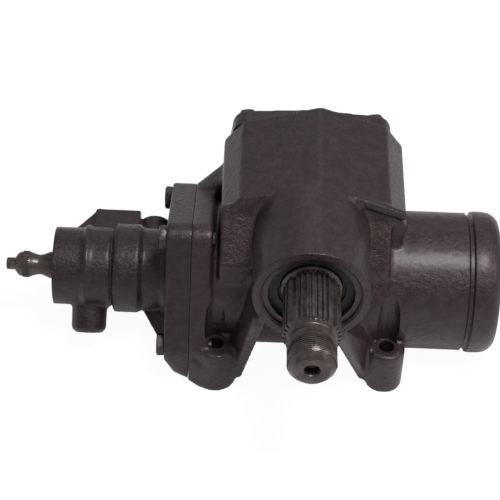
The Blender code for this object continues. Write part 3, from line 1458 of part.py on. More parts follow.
def spline_outline():
    """The outline of the splined end, with a wide blind tooth at each quarter."""
    root = SPLINE_RADIUS - SPLINE_DEPTH
    pitch = math.tau / SPLINE_TEETH
    blind_every = SPLINE_TEETH // BLIND_SPLINES
    polar = []
    for number in range(SPLINE_TEETH):
        middle = pitch * number
        polar += [(SPLINE_RADIUS, middle - pitch * 0.2), (SPLINE_RADIUS, middle + pitch * 0.2)]
        if number % blind_every:
            polar += [(root, middle + pitch * 0.38), (root, middle + pitch * 0.62)]
    return [(radius * math.sin(angle), SECTOR_Z + radius * math.cos(angle)) for radius, angle in polar]


def sector_shaft():
    """The output shaft: toothed sector, two journals, splined end, nut thread and T-slot."""
    edge = 1.0 * MM
    root = SPLINE_RADIUS - SPLINE_DEPTH
    shaft = turned(
        [
            (SHAFT_END_Y + CENTRE_DRILL_DEPTH, 0.0),
            (SHAFT_END_Y, CENTRE_DRILL_RADIUS),
            (SHAFT_END_Y, NUT_THREAD_RADIUS - SHAFT_END_CHAMFER),
            (SHAFT_END_Y + SHAFT_END_CHAMFER, NUT_THREAD_RADIUS),
            (NUT_GROOVE_END_Y, NUT_THREAD_RADIUS),
            (NUT_GROOVE_END_Y, NUT_GROOVE_RADIUS),
            (SPLINE_END_Y - edge, NUT_GROOVE_RADIUS),
            (SPLINE_END_Y + edge, root - edge / 2),
            (SPLINE_START_Y, root - edge / 2),
            (SPLINE_START_Y + edge, SHAFT_RADIUS),
            (SECTOR_FRONT_Y + edge, SHAFT_RADIUS),
            (SECTOR_FRONT_Y + edge, COVER_JOURNAL_RADIUS),
            (COVER_JOURNAL_END_Y - edge, COVER_JOURNAL_RADIUS),
            (COVER_JOURNAL_END_Y, COVER_JOURNAL_RADIUS - edge),
            (COVER_JOURNAL_END_Y, 0.0),
        ],
        MEDIUM_ROUND,
        "Y",
        (0.0, 0.0, SECTOR_Z),
    )
    sector = prism(sector_outline(), SECTOR_FRONT_Y, SECTOR_BACK_Y)
    spline = prism(spline_outline(), SPLINE_END_Y, SPLINE_START_Y + edge / 2)
    slot_start = LASH_HEAD_Y - SEAT_GAP
    slot_end = LASH_HEAD_Y + LASH_HEAD_HEIGHT + SEAT_GAP
    long = 2 * COVER_JOURNAL_RADIUS
    wide = LASH_HEAD_RADIUS + RUN_GAP
    narrow = LASH_SCREW_RADIUS + RUN_GAP
    cuts = [
        box((-long, slot_start, SECTOR_Z - wide), (long, slot_end, SECTOR_Z + wide)),
        box(
            (-long, slot_start + edge, SECTOR_Z - narrow),
            (long, COVER_JOURNAL_END_Y + edge, SECTOR_Z + narrow),
        ),
    ]
    return joined("sector_shaft", shaft, (sector, spline), cuts)


def build_fixed_pieces():
    """Everything that stays with the housing."""
    centre = (0.0, 0.0, SECTOR_Z)
    main_housing()
    valve_housing()
    flange_bolts()
    port_seat("pressure_port_seat", PRESSURE_PORT_X, PORT_BLOCK_END_Y)
    port_seat("return_port_seat", RETURN_PORT_X, RETURN_PORT_END_Y)
    side_cover()
    cover_gasket()
    cover_bolts()
    lash_adjuster()
    lash_locknut()
    bearing_start = SEAL_BORE_END_Y + SEAT_GAP
    needle_bearing(
        "sector_bearing_outer", bearing_start, POCKET_FRONT_Y - SEAT_GAP, SHAFT_RADIUS, "Y", centre
    )
    cover_bearing_start = COVER_HUB_START_Y + SEAT_GAP
    cover_bearing_end = COVER_JOURNAL_END_Y - LASH_HEAD_HEIGHT
    needle_bearing(
        "sector_bearing_inner", cover_bearing_start, cover_bearing_end, COVER_JOURNAL_RADIUS, "Y", centre
    )
    sector_seals()
    end_plug()
    adjuster_plug()
    thrust_start = PLUG_SHOULDER_X
    thrust_bearing(
        "upper_thrust_bearing",
        thrust_start,
        SLEEVE_START_X - SEAT_GAP,
        SPOOL_RADIUS + RUN_GAP,
        SLEEVE_RADIUS,
    )
    thrust_bearing(
        "lower_thrust_bearing",
        WORM_HEAD_END_X + SEAT_GAP,
        HEAD_SHOULDER_X - SEAT_GAP,
        WORM_NECK_RADIUS + RUN_GAP,
        WORM_HEAD_RADIUS,
    )


def build_moving_pieces():
    """The pieces of each moving body, under the name of its joint axis."""
    input_shaft()
    torsion_bar()
    valve_sleeve()
    worm_shaft()
    rack_piston()
    ball_guide()
    recirculating_balls()
    sector_shaft()


FINISHES = {
    "black_iron": (BLACK_IRON, 0.5, 0.35),
    "black_steel": (BLACK_STEEL, 0.4, 0.5),
    "bright_steel": (BRIGHT_STEEL, 0.3, 1.0),
    "seal_rubber": (SEAL_RUBBER, 0.7, 0.0),
    "seal_plastic": (SEAL_PLASTIC, 0.5, 0.0),
    "brass": (PLUG_BRASS, 0.35, 1.0),
}

NODE_FINISH = {
    "main_housing": "black_iron",
    "valve_housing": "black_iron",
    "valve_housing_bolt": "black_steel",
    "pressure_port_seat": "brass",
    "return_port_seat": "brass",
    "side_cover": "black_iron",
    "cover_gasket": "seal_plastic",
    "cover_bolt": "black_steel",
    "lash_adjuster_screw": "black_steel",
    "lash_adjuster_locknut": "black_steel",
    "sector_bearing_outer": "bright_steel",
    "sector_bearing_inner": "bright_steel",
    "sector_shaft_seal": "seal_rubber",
    "sector_backup_washer": "black_steel",
    "sector_snap_ring": "black_steel",
    "cylinder_end_plug": "black_steel",
    "end_plug_o_ring": "seal_rubber",
    "end_retaining_ring": "black_steel",
    "adjuster_plug": "black_steel",
    "adjuster_locknut": "black_steel",
    "input_shaft_bearing": "bright_steel",
    "input_shaft_seal": "seal_rubber",
    "input_dust_seal": "seal_rubber",
    "upper_thrust_bearing": "bright_steel",
    "lower_thrust_bearing": "bright_steel",
    "input_shaft": "black_steel",
    "torsion_bar": "bright_steel",
    "valve_sleeve": "bright_steel",
    "sleeve_seal_ring": "seal_plastic",
    "worm_shaft": "bright_steel",
    "rack_piston": "bright_steel",
    "piston_ring": "seal_plastic",
    "rack_piston_end_plug": "bright_steel",
    "ball_return_guide": "bright_steel",
    "ball_guide_clamp": "bright_steel",
    "recirculating_ball": "bright_steel",
    "sector_shaft": "black_steel",
}

AXIS_PIECES = {
    "sector_axis": ("sector_shaft",),
    "worm_axis": ("input_shaft", "torsion_bar", "valve_sleeve", "sleeve_seal_ring", "worm_shaft"),
    "piston_axis": (
        "rack_piston",
        "piston_ring",
        "rack_piston_end_plug",
        "ball_return_guide",
        "ball_guide_clamp",
        "recirculating_ball",
    ),
}


def kind_of(made):
    """The name without its number, so that the copies of a piece share one entry."""
    return made.name.rstrip("0123456789").rstrip("_")


def new_empty(name, place, parent=None):
    empty = bpy.data.objects.new(name, None)
    empty.location = place
    empty.parent = parent
    bpy.context.scene.collection.objects.link(empty)
    return empty


def main():
    clear_scene()
    build_fixed_pieces()
    build_moving_pieces()
    finishes = {name: finish_material(name, *values) for name, values in FINISHES.items()}
    solids = list(bpy.data.objects)
    for made in solids:
        if not made.hide_render:
            made.data.materials.append(finishes[NODE_FINISH[kind_of(made)]])
    middle_x = (INPUT_TIP_X + CYLINDER_END_X) / 2
    middle_y = (SHAFT_END_Y + LASH_SCREW_END_Y) / 2
    gear = new_empty("gear_frame", (-middle_x, -middle_y, -MOUNT_PLANE_Z))
    axes = {
        "sector_axis": new_empty("sector_axis", (0.0, 0.0, SECTOR_Z), gear),
        "worm_axis": new_empty("worm_axis", (0.0, 0.0, 0.0), gear),
        "piston_axis": new_empty("piston_axis", (0.0, 0.0, 0.0), gear),
    }
    for made in solids:
        made.parent = gear
    for piece in solids:
        for axis, kinds in AXIS_PIECES.items():
            if kind_of(piece) in kinds:
                piece.parent = axes[axis]
                piece.location = -axes[axis].location


main()
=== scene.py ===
# %% [markdown]
# This script dresses a recirculating-ball power steering gear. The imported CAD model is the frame: each of
# its solids keeps its place, and the pieces made here stand for the ones that the eye sees. It comes
# first, because every later step measures from it.

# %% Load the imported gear
import math

import bmesh
import bpy
from mathutils import Matrix, Vector


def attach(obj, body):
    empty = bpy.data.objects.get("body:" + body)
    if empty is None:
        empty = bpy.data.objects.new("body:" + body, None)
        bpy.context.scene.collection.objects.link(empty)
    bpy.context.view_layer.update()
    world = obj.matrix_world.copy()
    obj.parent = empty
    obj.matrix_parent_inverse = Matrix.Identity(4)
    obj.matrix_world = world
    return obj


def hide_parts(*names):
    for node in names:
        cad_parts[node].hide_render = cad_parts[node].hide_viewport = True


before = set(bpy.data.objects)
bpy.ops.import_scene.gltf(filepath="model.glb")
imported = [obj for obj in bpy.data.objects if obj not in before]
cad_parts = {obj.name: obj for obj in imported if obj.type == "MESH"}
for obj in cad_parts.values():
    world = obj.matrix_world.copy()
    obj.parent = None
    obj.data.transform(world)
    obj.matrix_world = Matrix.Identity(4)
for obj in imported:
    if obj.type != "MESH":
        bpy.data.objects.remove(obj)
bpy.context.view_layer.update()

MM = 0.001

# %% [markdown]
# A gear maker measures from the worm's axis, where it passes under the sector shaft. All sizes below are
# millimetres from that point, x along the worm towards the closed end of the cylinder, y towards the side
# cover and z up. One matrix takes such a drawing to its place in the scene, so that each piece's object
# can stay at the origin with its place in its mesh.

# %% From the drawing to the scene
AXIS_POINT = Vector((37.15, 22.75, 46.0))
DRAWING_TO_SCENE = Matrix.Scale(MM, 4) @ Matrix.Translation(AXIS_POINT)
FINE_ROUND = 96
SMALL_ROUND = 40


def shape_object(name, shape):
    """A scene object from a drawing in millimetres."""
    bmesh.ops.transform(shape, matrix=DRAWING_TO_SCENE, verts=shape.verts)
    bmesh.ops.recalc_face_normals(shape, faces=shape.faces)
    mesh = bpy.data.meshes.new(name)
    shape.to_mesh(mesh)
    shape.free()
    made = bpy.data.objects.new(name, mesh)
    bpy.context.scene.collection.objects.link(made)
    return made


def on_axis(axis, centre, along, radius, angle):
    """The point at an angle round an axis through centre."""
    across, up = radius * math.sin(angle), radius * math.cos(angle)
    offset = {"X": (along, across, up), "Y": (across, along, up), "Z": (across, up, along)}[axis]
    return Vector(centre) + Vector(offset)


print("drawing origin at", [round(value * MM, 4) for value in AXIS_POINT])

# %% [markdown]
# Most of a gear is turned, or flows from convex lumps. Turning a profile round an axis gives bores, shafts
# and bosses. A convex hull round a few discs or corners gives webs, flanges and drafted walls, which is
# how a pattern maker thinks of them too. Corners of a profile are eased with a small arc, because light
# catches on such an edge.

# %% Turned shapes
LONGEST_ARC = 0.45  # as a share of the side that it eases


def eased(profile, radius, steps=3):
    """The same profile with a small arc at each inner corner."""
    made = [tuple(profile[0])]
    for before, corner, after in zip(profile, profile[1:], profile[2:]):
        start, middle, end = (Vector(point) for point in (before, corner, after))
        if corner[1] == 0:
            made.append(corner)
            continue
        back, on = start - middle, end - middle
        cut = min(radius, back.length * LONGEST_ARC, on.length * LONGEST_ARC)
        first, last = middle + back.normalized() * cut, middle + on.normalized() * cut
        for step in range(steps + 1):
            t = step / steps
            made.append(tuple(first * (1 - t) ** 2 + middle * 2 * t * (1 - t) + last * t * t))
    made.append(tuple(profile[-1]))
    return made


def add_turned(shape, profile, axis="X", centre=(0, 0, 0), steps=FINE_ROUND, closed=False):
    """Turns (along, radius) pairs round an axis. A closed profile makes a ring."""
    rings = []
    for along, radius in profile:
        count = 1 if radius == 0 else steps
        angles = [math.tau * number / steps for number in range(count)]
        rings.append([shape.verts.new(on_axis(axis, centre, along, radius, angle)) for angle in angles])
    pairs = list(zip(rings, rings[1:]))
    if closed:
        pairs.append((rings[-1], rings[0]))
    for first, second in pairs:
        for number in range(steps):
            after = number + 1
            corners = [
                first[number % len(first)],
                first[after % len(first)],
                second[after % len(second)],
                second[number % len(second)],
            ]
            corners = list(dict.fromkeys(corners))
            if len(corners) > 2:
                shape.faces.new(corners)
    return shape


def turned(profile, axis="X", centre=(0, 0, 0), steps=FINE_ROUND, closed=False):
    return add_turned(bmesh.new(), profile, axis, centre, steps, closed)


def bar(start, end, radius, axis="X", centre=(0, 0, 0), steps=FINE_ROUND):
    return turned([(start, 0), (start, radius), (end, radius), (end, 0)], axis, centre, steps)


print("turned shapes ready, in rounds of", FINE_ROUND, "steps")

# %% [markdown]
# A lump is the tightest skin round a handful of points, as if a cloth were pulled over them. Discs give it
# round ends and corner points give it edges, so that one short list makes a web, a flange or a wall.

# %% Lumps
def disc(centre, radius, axis, steps=SMALL_ROUND):
    return [on_axis(axis, centre, 0, radius, math.tau * number / steps) for number in range(steps)]


def add_lump(shape, points):
    """Adds the convex lump round the points."""
    lump = bmesh.new()
    for point in points:
        lump.verts.new(point)
    found = bmesh.ops.convex_hull(lump, input=lump.verts)
    spare = found["geom_interior"] + found["geom_unused"]
    inside = {item for item in spare if isinstance(item, bmesh.types.BMVert)}
    bmesh.ops.delete(lump, geom=list(inside), context="VERTS")
    copies = {vert: shape.verts.new(vert.co) for vert in lump.verts}
    for face in lump.faces:
        shape.faces.new([copies[vert] for vert in face.verts])
    lump.free()
    return shape


def lump(points):
    return add_lump(bmesh.new(), points)


def block(low, high):
    xs, ys, zs = zip(low, high)
    return lump([(x, y, z) for x in xs for y in ys for z in zs])


print("lumps ready, with discs of", SMALL_ROUND, "points")

# %% [markdown]
# The housing is sand cast. A real pattern has fillets where its forms meet, and the sand leaves a fine
# skin. So the lumps are melted into one body by a voxel remesh, smoothed until the meeting lines are
# fillets, and given a slight uneven skin. Booleans alone would leave knife-sharp meeting lines. The
# machine shop comes after it: bores and faces are cut into the casting and stay crisp.

# %% The foundry and the machine shop
SAND_GRAIN = 1.9
SMOOTH_ANGLE = math.radians(32)
sand = bpy.data.textures.new("sand_skin", "CLOUDS")
sand.noise_scale = SAND_GRAIN * MM
sand.noise_depth = 2


def settled(source, name):
    """The evaluated shape of an object as a plain mesh object, which takes its place."""
    bpy.context.view_layer.update()
    graph = bpy.context.evaluated_depsgraph_get()
    mesh = bpy.data.meshes.new_from_object(source.evaluated_get(graph), depsgraph=graph)
    mesh.name = name
    helpers = [modifier.object for modifier in source.modifiers if getattr(modifier, "object", None)]
    for used in [source, *helpers]:
        bpy.data.objects.remove(used)
    made = bpy.data.objects.new(name, mesh)
    bpy.context.scene.collection.objects.link(made)
    return made


def shade(piece, angle=SMOOTH_ANGLE):
    """Smooth shading, with edges above the angle kept sharp."""
    for polygon in piece.data.polygons:
        polygon.use_smooth = True
    piece.data.set_sharp_from_angle(angle=angle)
    return piece


def cast(name, clay, voxel, soften, skin, most_triangles):
    """Melts overlapping lumps into one casting with fillets and a sand skin."""
    raw = shape_object(name, clay)
    melt = raw.modifiers.new("melt", "REMESH")
    melt.mode = "VOXEL"
    melt.voxel_size = voxel * MM
    ease = raw.modifiers.new("ease", "SMOOTH")
    ease.factor = 0.5
    ease.iterations = soften
    grain = raw.modifiers.new("grain", "DISPLACE")
    grain.texture = sand
    grain.strength = skin * MM
    grain.mid_level = 0.5
    raw = settled(raw, name)
    triangles = 2 * len(raw.data.polygons)
    thin = raw.modifiers.new("thin", "DECIMATE")
    thin.ratio = min(1.0, most_triangles / triangles)
    raw = settled(raw, name)
    print(name, "cast with", len(raw.data.polygons), "triangles")
    return raw


def machined(casting, name, cutters):
    """Cuts each cutter out of the casting."""
    for number, cutter in enumerate(cutters):
        cut = casting.modifiers.new("cut", "BOOLEAN")
        cut.solver = "MANIFOLD"
        cut.operation = "DIFFERENCE"
        cut.object = shape_object(f"{name}_cutter_{number}", cutter)
    made = shade(settled(casting, name))
    print(name, "machined by", len(cutters), "cuts,", len(made.data.polygons), "faces")
    return made


# %% [markdown]
# The flange that joins the two castings is a round with a rounded ear for each of its four bolts. Both
# castings use it, so it is drawn once. Each casting has a little more metal than it needs on a machined
# face, which the cut then takes off, as in the real shop.

# %% Sizes that both castings share
SECTOR_Z = 54.0
CYLINDER_RADIUS = 44.8
JOINT_X = -74.1
MACHINING = 1.2
FLANGE_BOLT_CIRCLE = 52.0
FLANGE_EAR = 10.0
FLANGE_THICK = 13.0
BOLT_HOLE = 4.3
FLANGE_BOLTS = [
    (FLANGE_BOLT_CIRCLE * math.cos(math.radians(turn)), FLANGE_BOLT_CIRCLE * math.sin(math.radians(turn)))
    for turn in (24, 114, 204, 318)
]


def add_flange(shape, start, end):
    points = []
    for x in (start, end):
        points += disc((x, 0, 0), CYLINDER_RADIUS, "X", FINE_ROUND)
        for y, z in FLANGE_BOLTS:
            points += disc((x, y, z), FLANGE_EAR, "X")
    return add_lump(shape, points)


print("flange bolts at", [(round(y, 1), round(z, 1)) for y, z in FLANGE_BOLTS])

# %% [markdown]
# The main casting carries everything: the power cylinder, the ridged block over the toothed sector, the
# tower round the sector shaft, and four bosses on legs that bolt it to a frame rail. Its lumps are drawn
# here with the sizes of the CAD solids.

# %% Clay for the main casting
TOWER_FRONT_Y = -77.4
TOWER_RADIUS = 36.0
FRONT_Y = -16.0
RIDGE_X, RIDGE_Z = 4.6, 90.0
SHOULDER = 12.0
COVER_FACE_Y = 63.0
CYLINDER_END_X = 121.3
MOUNT_Z = -46.0
BOSS_TOP_Z = -15.0
WEB = 7.0
WALL_INSIDE_Y = -12.5
BOSSES = [(-57, -50, 13.5), (52, -47, 12.0), (-57, 50, 13.5), (52, 47, 12.0)]

clay = bmesh.new()
cylinder = [
    (JOINT_X - MACHINING, 0),
    (JOINT_X - MACHINING, CYLINDER_RADIUS),
    (100.7, CYLINDER_RADIUS),
    (105.8, 46.0),
    (112.5, 46.0),
    (116.8, 45.2),
    (119.6, 43.6),
    (121.0, 41.6),
    (CYLINDER_END_X + MACHINING, 40.6),
    (CYLINDER_END_X + MACHINING, 0),
]
add_turned(clay, cylinder)
chamber = []
for y, right_z, left_z in ((FRONT_Y, 70.0, 73.0), (COVER_FACE_Y + MACHINING, 72.0, 72.0)):
    chamber.append((RIDGE_X, y, RIDGE_Z))
    for wall_x, foot_x, shoulder_z in ((60.0, 51.0, right_z), (-57.0, -57.0, left_z)):
        slope = (RIDGE_Z - shoulder_z) / (RIDGE_X - wall_x)
        inset_x = wall_x - math.copysign(SHOULDER, wall_x)
        chamber.append((inset_x, y, shoulder_z + slope * (inset_x - wall_x)))
        chamber += [(wall_x, y, shoulder_z - SHOULDER), (foot_x, y, 14.0), (inset_x, y, 0)]
add_lump(clay, chamber)
ledge = []
for x, z in ((22.0, 83.7), (58.5, 70.5)):
    ledge += [(x, y, z + rise) for y in (FRONT_Y - 2.5, FRONT_Y + 2) for rise in (-5.0, 1.0)]
add_lump(clay, ledge)
print("cylinder, chamber and ledge drawn with", len(clay.verts), "points")

# %% [markdown]
# The tower is a turned form too, and everything that holds it up is a hull: a wall on each side of it, a
# leg with a web down to each front boss, the bosses themselves, and the flange with its foot and gusset.
# Hulls taper by themselves from one end to the other, as cast walls do for the draft of the mould.

# %% Tower, legs and bosses
tower = [(TOWER_FRONT_Y - MACHINING, 0), (TOWER_FRONT_Y - MACHINING, TOWER_RADIUS)]
tower += [(WALL_INSIDE_Y, TOWER_RADIUS), (WALL_INSIDE_Y, 0)]
add_turned(clay, tower, "Y", (0, 0, SECTOR_Z))
for start_x, end_x, top_z, foot_y, foot_z in ((0.0, 50.0, 70.0, -35, 38), (-57.0, -34.8, 70.0, -38, 40)):
    wall = []
    for x in (start_x, end_x):
        wall += [(x, WALL_INSIDE_Y, top_z), (x, WALL_INSIDE_Y, 0), (x, foot_y, foot_z), (x, foot_y, 0)]
    add_lump(clay, wall)
for tower_x, tower_z, boss_x, boss_y in ((-31, 32, -43.5, -50), (19, 24, 40.0, -47)):
    leg = []
    for side in (-WEB / 2, WEB / 2):
        for y in (TOWER_FRONT_Y + 3, -22.4):
            leg += [(tower_x + side, y, tower_z), (tower_x + side, y, tower_z - WEB)]
        for y in (boss_y, -22.4):
            leg += [(boss_x + side, y, BOSS_TOP_Z), (boss_x + side, y, MOUNT_Z - MACHINING)]
    add_lump(clay, leg)
for x, y, radius in BOSSES:
    boss = []
    for reach_y in (y, math.copysign(CYLINDER_RADIUS / 2, y)):
        for z in (MOUNT_Z - MACHINING, BOSS_TOP_Z):
            boss += disc((x, reach_y, z), radius, "Z")
    add_lump(clay, boss)
add_flange(clay, JOINT_X - MACHINING, JOINT_X + FLANGE_THICK)
foot = [(JOINT_X - MACHINING, y, z) for y, z in ((-57, -43), (-42, -43), (-57, -24), (-42, -24))]
boss_x, boss_y, boss_radius = BOSSES[0]
for z in (MOUNT_Z - MACHINING, -30):
    foot += disc((boss_x, boss_y, z), boss_radius, "Z")
add_lump(clay, foot)
gusset_y, gusset_z = FLANGE_BOLTS[0]
gusset = []
for x in (JOINT_X, JOINT_X + FLANGE_THICK):
    gusset += disc((x, gusset_y, gusset_z), FLANGE_EAR, "X")
gusset += [(-54, y, z) for y in (gusset_y - 10, gusset_y + 10) for z in (gusset_z, 48.0)]
add_lump(clay, gusset)
main_clay = clay
print("main casting drawn with", len(main_clay.verts), "points")

# %% [markdown]
# The shop puts the rough casting on its feet and machines every face and bore from there: first the outer
# faces, then the cylinder's bore with the groove of its retaining ring, then the bores of the sector shaft
# at right angles to it, and last the holes for the bolts.

# %% Cut the main casting
BORE_RADIUS = 37.5
PLUG_BORE = 39.0
SEAL_BORE = 30.1
SHAFT_BORE = 23.6
SECTOR_SWEEP = 37.5


def main_cutters():
    """Every face and bore that the shop machines in the main casting."""
    far = 200.0
    cuts = [
        block((-far, -far, -far), (far, far, MOUNT_Z)),
        block((-far, -far, -far), (far, TOWER_FRONT_Y, far)),
        block((CYLINDER_END_X, -far, -far), (far, far, far)),
        block((-far, -far, -far), (JOINT_X, far, far)),
        block((-far, COVER_FACE_Y, -8.0), (far, far, far)),
    ]
    bore = [(JOINT_X - 1, 0), (JOINT_X - 1, BORE_RADIUS), (104, BORE_RADIUS), (104, PLUG_BORE)]
    bore += [(115.3, PLUG_BORE), (115.3, 41.1), (118.5, 41.1), (118.5, PLUG_BORE)]
    bore += [(CYLINDER_END_X - 1, PLUG_BORE), (CYLINDER_END_X + 1, PLUG_BORE + 2), (CYLINDER_END_X + 1, 0)]
    cuts.append(turned(bore))
    groove = [(100.7, 60.0), (100.7, 44.6), (102.0, 43.4), (104.0, 43.4), (105.0, 44.6), (105.0, 60.0)]
    cuts.append(turned(groove, closed=True))
    sector = (0, 0, SECTOR_Z)
    bearing = [(-8, 0), (-8, SHAFT_BORE), (-61.4, SHAFT_BORE), (-61.4, SEAL_BORE)]
    bearing += [(-72.5, SEAL_BORE), (-72.5, 31.7)]
    bearing += [(-74.9, 31.7), (-74.9, SEAL_BORE), (-76.2, SEAL_BORE), (-78.4, 32.3), (-78.4, 0)]
    cuts.append(turned(bearing, "Y", sector))
    cuts.append(turned([(-8.7, 0), (-8.7, 25.4), (64, 25.4), (64, 0)], "Y", sector))
    low_side = [point for point in disc(sector, SECTOR_SWEEP, "Y", FINE_ROUND) if point.z < 58]
    cuts.append(lump([(point.x, y, point.z) for point in low_side for y in (-9.0, 64.0)]))
    for x, y, radius in BOSSES:
        cuts.append(bar(BOSS_TOP_Z - 0.6, 21, 7.5, "Z", (x, y, 0), SMALL_ROUND))
        cuts.append(bar(MOUNT_Z - 1, BOSS_TOP_Z + 1, 5, "Z", (x, y, 0), SMALL_ROUND))
    for y, z in FLANGE_BOLTS:
        cuts.append(bar(JOINT_X - 1, -59.2, BOLT_HOLE, "X", (0, y, z), SMALL_ROUND))
    return cuts


main_casting = cast("main_casting", main_clay, voxel=1.25, soften=9, skin=0.22, most_triangles=170000)
main_casting = machined(main_casting, "main_casting", main_cutters())
print("main casting spans", [round(size / MM) for size in main_casting.dimensions], "mm")

# %% [markdown]
# The valve casting is the smaller one, bolted to the left of the main one. It has a stepped barrel with a
# thin rib and a wide band, a block at the back for the pressure hose, a boss for the return hose and a
# blank lug that drops towards the viewer. The bore steps down from the adjuster plug's seat to the neck
# of the worm.

# %% Cast and machine the valve housing
VALVE_JOINT_X = JOINT_X - 0.3
VALVE_FLANGE_X = VALVE_JOINT_X - 15.1
NOSE_X = -163.7
BAND_RADIUS = 28.8
NECK_RADIUS = 26.4
PORTS = [(-126.0, 48.6), (-100.5, 41.0)]
LUG_DROP = math.radians(47.7)

clay = bmesh.new()
barrel = [(NOSE_X - MACHINING, 0), (NOSE_X - MACHINING, 25.1), (-145.2, 25.1), (-143.6, 27.4)]
barrel += [(-141.4, 27.4), (-139.8, 26.1), (-127.5, 26.1), (-127.0, 24.3), (-125.6, 24.3)]
barrel += [(-124.6, BAND_RADIUS), (-109.0, BAND_RADIUS), (-106.0, NECK_RADIUS)]
barrel += [(-94.0, NECK_RADIUS), (-88.5, 31.4), (-88.5, 0)]
add_turned(clay, barrel)
add_flange(clay, VALVE_FLANGE_X - MACHINING / 2, VALVE_JOINT_X + MACHINING)
face_y, half, chamfer = PORTS[0][1], 13.0, 6.0
side = [(0, half), (face_y - chamfer, half), (face_y, half - chamfer)]
side += [(face_y, chamfer - half), (face_y - chamfer, -half), (0, -half)]
add_lump(clay, [(x, y, z) for x in (-141, -111) for y, z in side])
web = [(-153.5, 22.0), (-153.5, 0), (-138, 45.0), (-138, 0)]
add_lump(clay, [(x, y, z) for x, y in web for z in (-12.5, 12.5)])
add_turned(clay, [(0, 0), (0, 12.0), (39.5, 12.0), (41.0, 10.5), (41.0, 0)], "Y", (-101, 0, 0))
lug = bmesh.new()
add_turned(lug, [(-43.0, 0), (-43.0, 8.5), (-40.2, 11.2), (0, 11.8), (0, 0)], "Y", (0, 0, 0), SMALL_ROUND)
bmesh.ops.rotate(lug, matrix=Matrix.Rotation(LUG_DROP, 3, "X"), verts=lug.verts)
bmesh.ops.translate(lug, vec=(-140.5, 0, 0), verts=lug.verts)
lug_mesh = bpy.data.meshes.new("lug")
lug.to_mesh(lug_mesh)
clay.from_mesh(lug_mesh)
ear_y, ear_z = FLANGE_BOLTS[2]
rough_joint_x = VALVE_JOINT_X + MACHINING
foot = disc((VALVE_FLANGE_X, ear_y, ear_z), FLANGE_EAR, "X")
foot += disc((rough_joint_x, ear_y, ear_z), FLANGE_EAR, "X")
foot += [(-83.5, -55, -39), (-83.5, -42, -39), (rough_joint_x, -57, -43), (rough_joint_x, -42, -43)]
add_lump(clay, foot)
gusset = [(x, y, z) for x in (-107, -104) for y, z in ((-17, -19), (-8, -25), (-4, -12))]
gusset += [(VALVE_FLANGE_X + 2, y, z) for y, z in ((-52, -27), (-44, -33), (-30, -12))]
add_lump(clay, gusset)
cuts = [
    block((-300, -200, -200), (NOSE_X, 200, 200)),
    block((VALVE_JOINT_X, -200, -200), (200, 200, 200)),
]
bore = [(-166, 0), (-166, 22.8), (NOSE_X + 1, 21.6), (-150, 21.6), (-150, 20), (-82, 20)]
bore += [(-82, 11.2), (-73, 11.2), (-73, 0)]
cuts.append(turned(bore))
for x, end_y in PORTS:
    port = [(18, 0), (18, 2.6), (end_y - 17, 2.6), (end_y - 17, 6.5), (end_y - 1, 6.5)]
    port += [(end_y + 1, 8.5), (end_y + 1, 0)]
    cuts.append(turned(port, "Y", (x, 0, 0), SMALL_ROUND))
for y, z in FLANGE_BOLTS:
    cuts.append(bar(VALVE_FLANGE_X - 3, VALVE_JOINT_X + 1, BOLT_HOLE, "X", (0, y, z), SMALL_ROUND))
    cuts.append(bar(VALVE_FLANGE_X - 22, VALVE_FLANGE_X, 8.6, "X", (0, y, z), SMALL_ROUND))
valve_casting = cast("valve_casting", clay, voxel=1.0, soften=7, skin=0.22, most_triangles=110000)
valve_casting = machined(valve_casting, "valve_casting", cuts)

# %% [markdown]
# The side cover closes the back. It is a casting too: a plate with an ear for each of its six bolts, a
# raised boss for the adjusting screw, and a hub inside that carries the end of the sector shaft.

# %% Cast and machine the side cover
COVER_INNER_Y = 64.5
COVER_OUTER_Y = 77.7
COVER_BOLTS = [(side * x, z) for side in (-1, 1) for x, z in ((42, 64), (46, 34), (26, 11))]
SECTOR_POINT = (0, 0, SECTOR_Z)

clay = bmesh.new()
plate = []
for y in (COVER_INNER_Y - MACHINING, COVER_OUTER_Y):
    plate += disc((0, y, SECTOR_Z), 23, "Y", FINE_ROUND)
    for x, z in COVER_BOLTS:
        plate += disc((x, y, z), 10, "Y")
add_lump(clay, plate)
add_turned(clay, [(26.5, 0), (26.5, 25), (70, 25), (70, 0)], "Y", SECTOR_POINT)
screw_boss = [(70, 0), (70, 15.5), (COVER_OUTER_Y, 15.5), (COVER_OUTER_Y + 4, 13), (82, 0)]
add_turned(clay, screw_boss, "Y", SECTOR_POINT)
hub_side = [(26, 60), (26, 24.6), (COVER_INNER_Y, 24.6), (COVER_INNER_Y, 100), (26, 100)]
cuts = [
    block((-200, -200, -200), (200, 27, 200)),
    block((-200, COVER_OUTER_Y + 3, -200), (200, 300, 200)),
    turned([(26, 0), (26, 20.6), (57, 20.6), (57, 6), (82, 6), (82, 0)], "Y", SECTOR_POINT),
    turned(hub_side, "Y", SECTOR_POINT, closed=True),
]
for x, z in COVER_BOLTS:
    cuts.append(bar(50, COVER_OUTER_Y + 2, BOLT_HOLE, "Y", (x, 0, z), SMALL_ROUND))
    cuts.append(bar(COVER_OUTER_Y - 0.01, COVER_OUTER_Y + 5, 8.8, "Y", (x, 0, z), SMALL_ROUND))
cover_casting = cast("side_cover_casting", clay, voxel=1.2, soften=6, skin=0.2, most_triangles=60000)
cover_casting = machined(cover_casting, "side_cover_casting", cuts)

# %% [markdown]
# Nearly everything on this gear wears one coat of semi-gloss black-brown paint, sprayed over rough iron.
# What tells the surfaces apart is what lies under it: sand-cast skin, turned steel, or plain metal where
# a seal wipes it. One function mixes such a finish, with noise on Object coordinates, so that the grain
# stays with the piece.

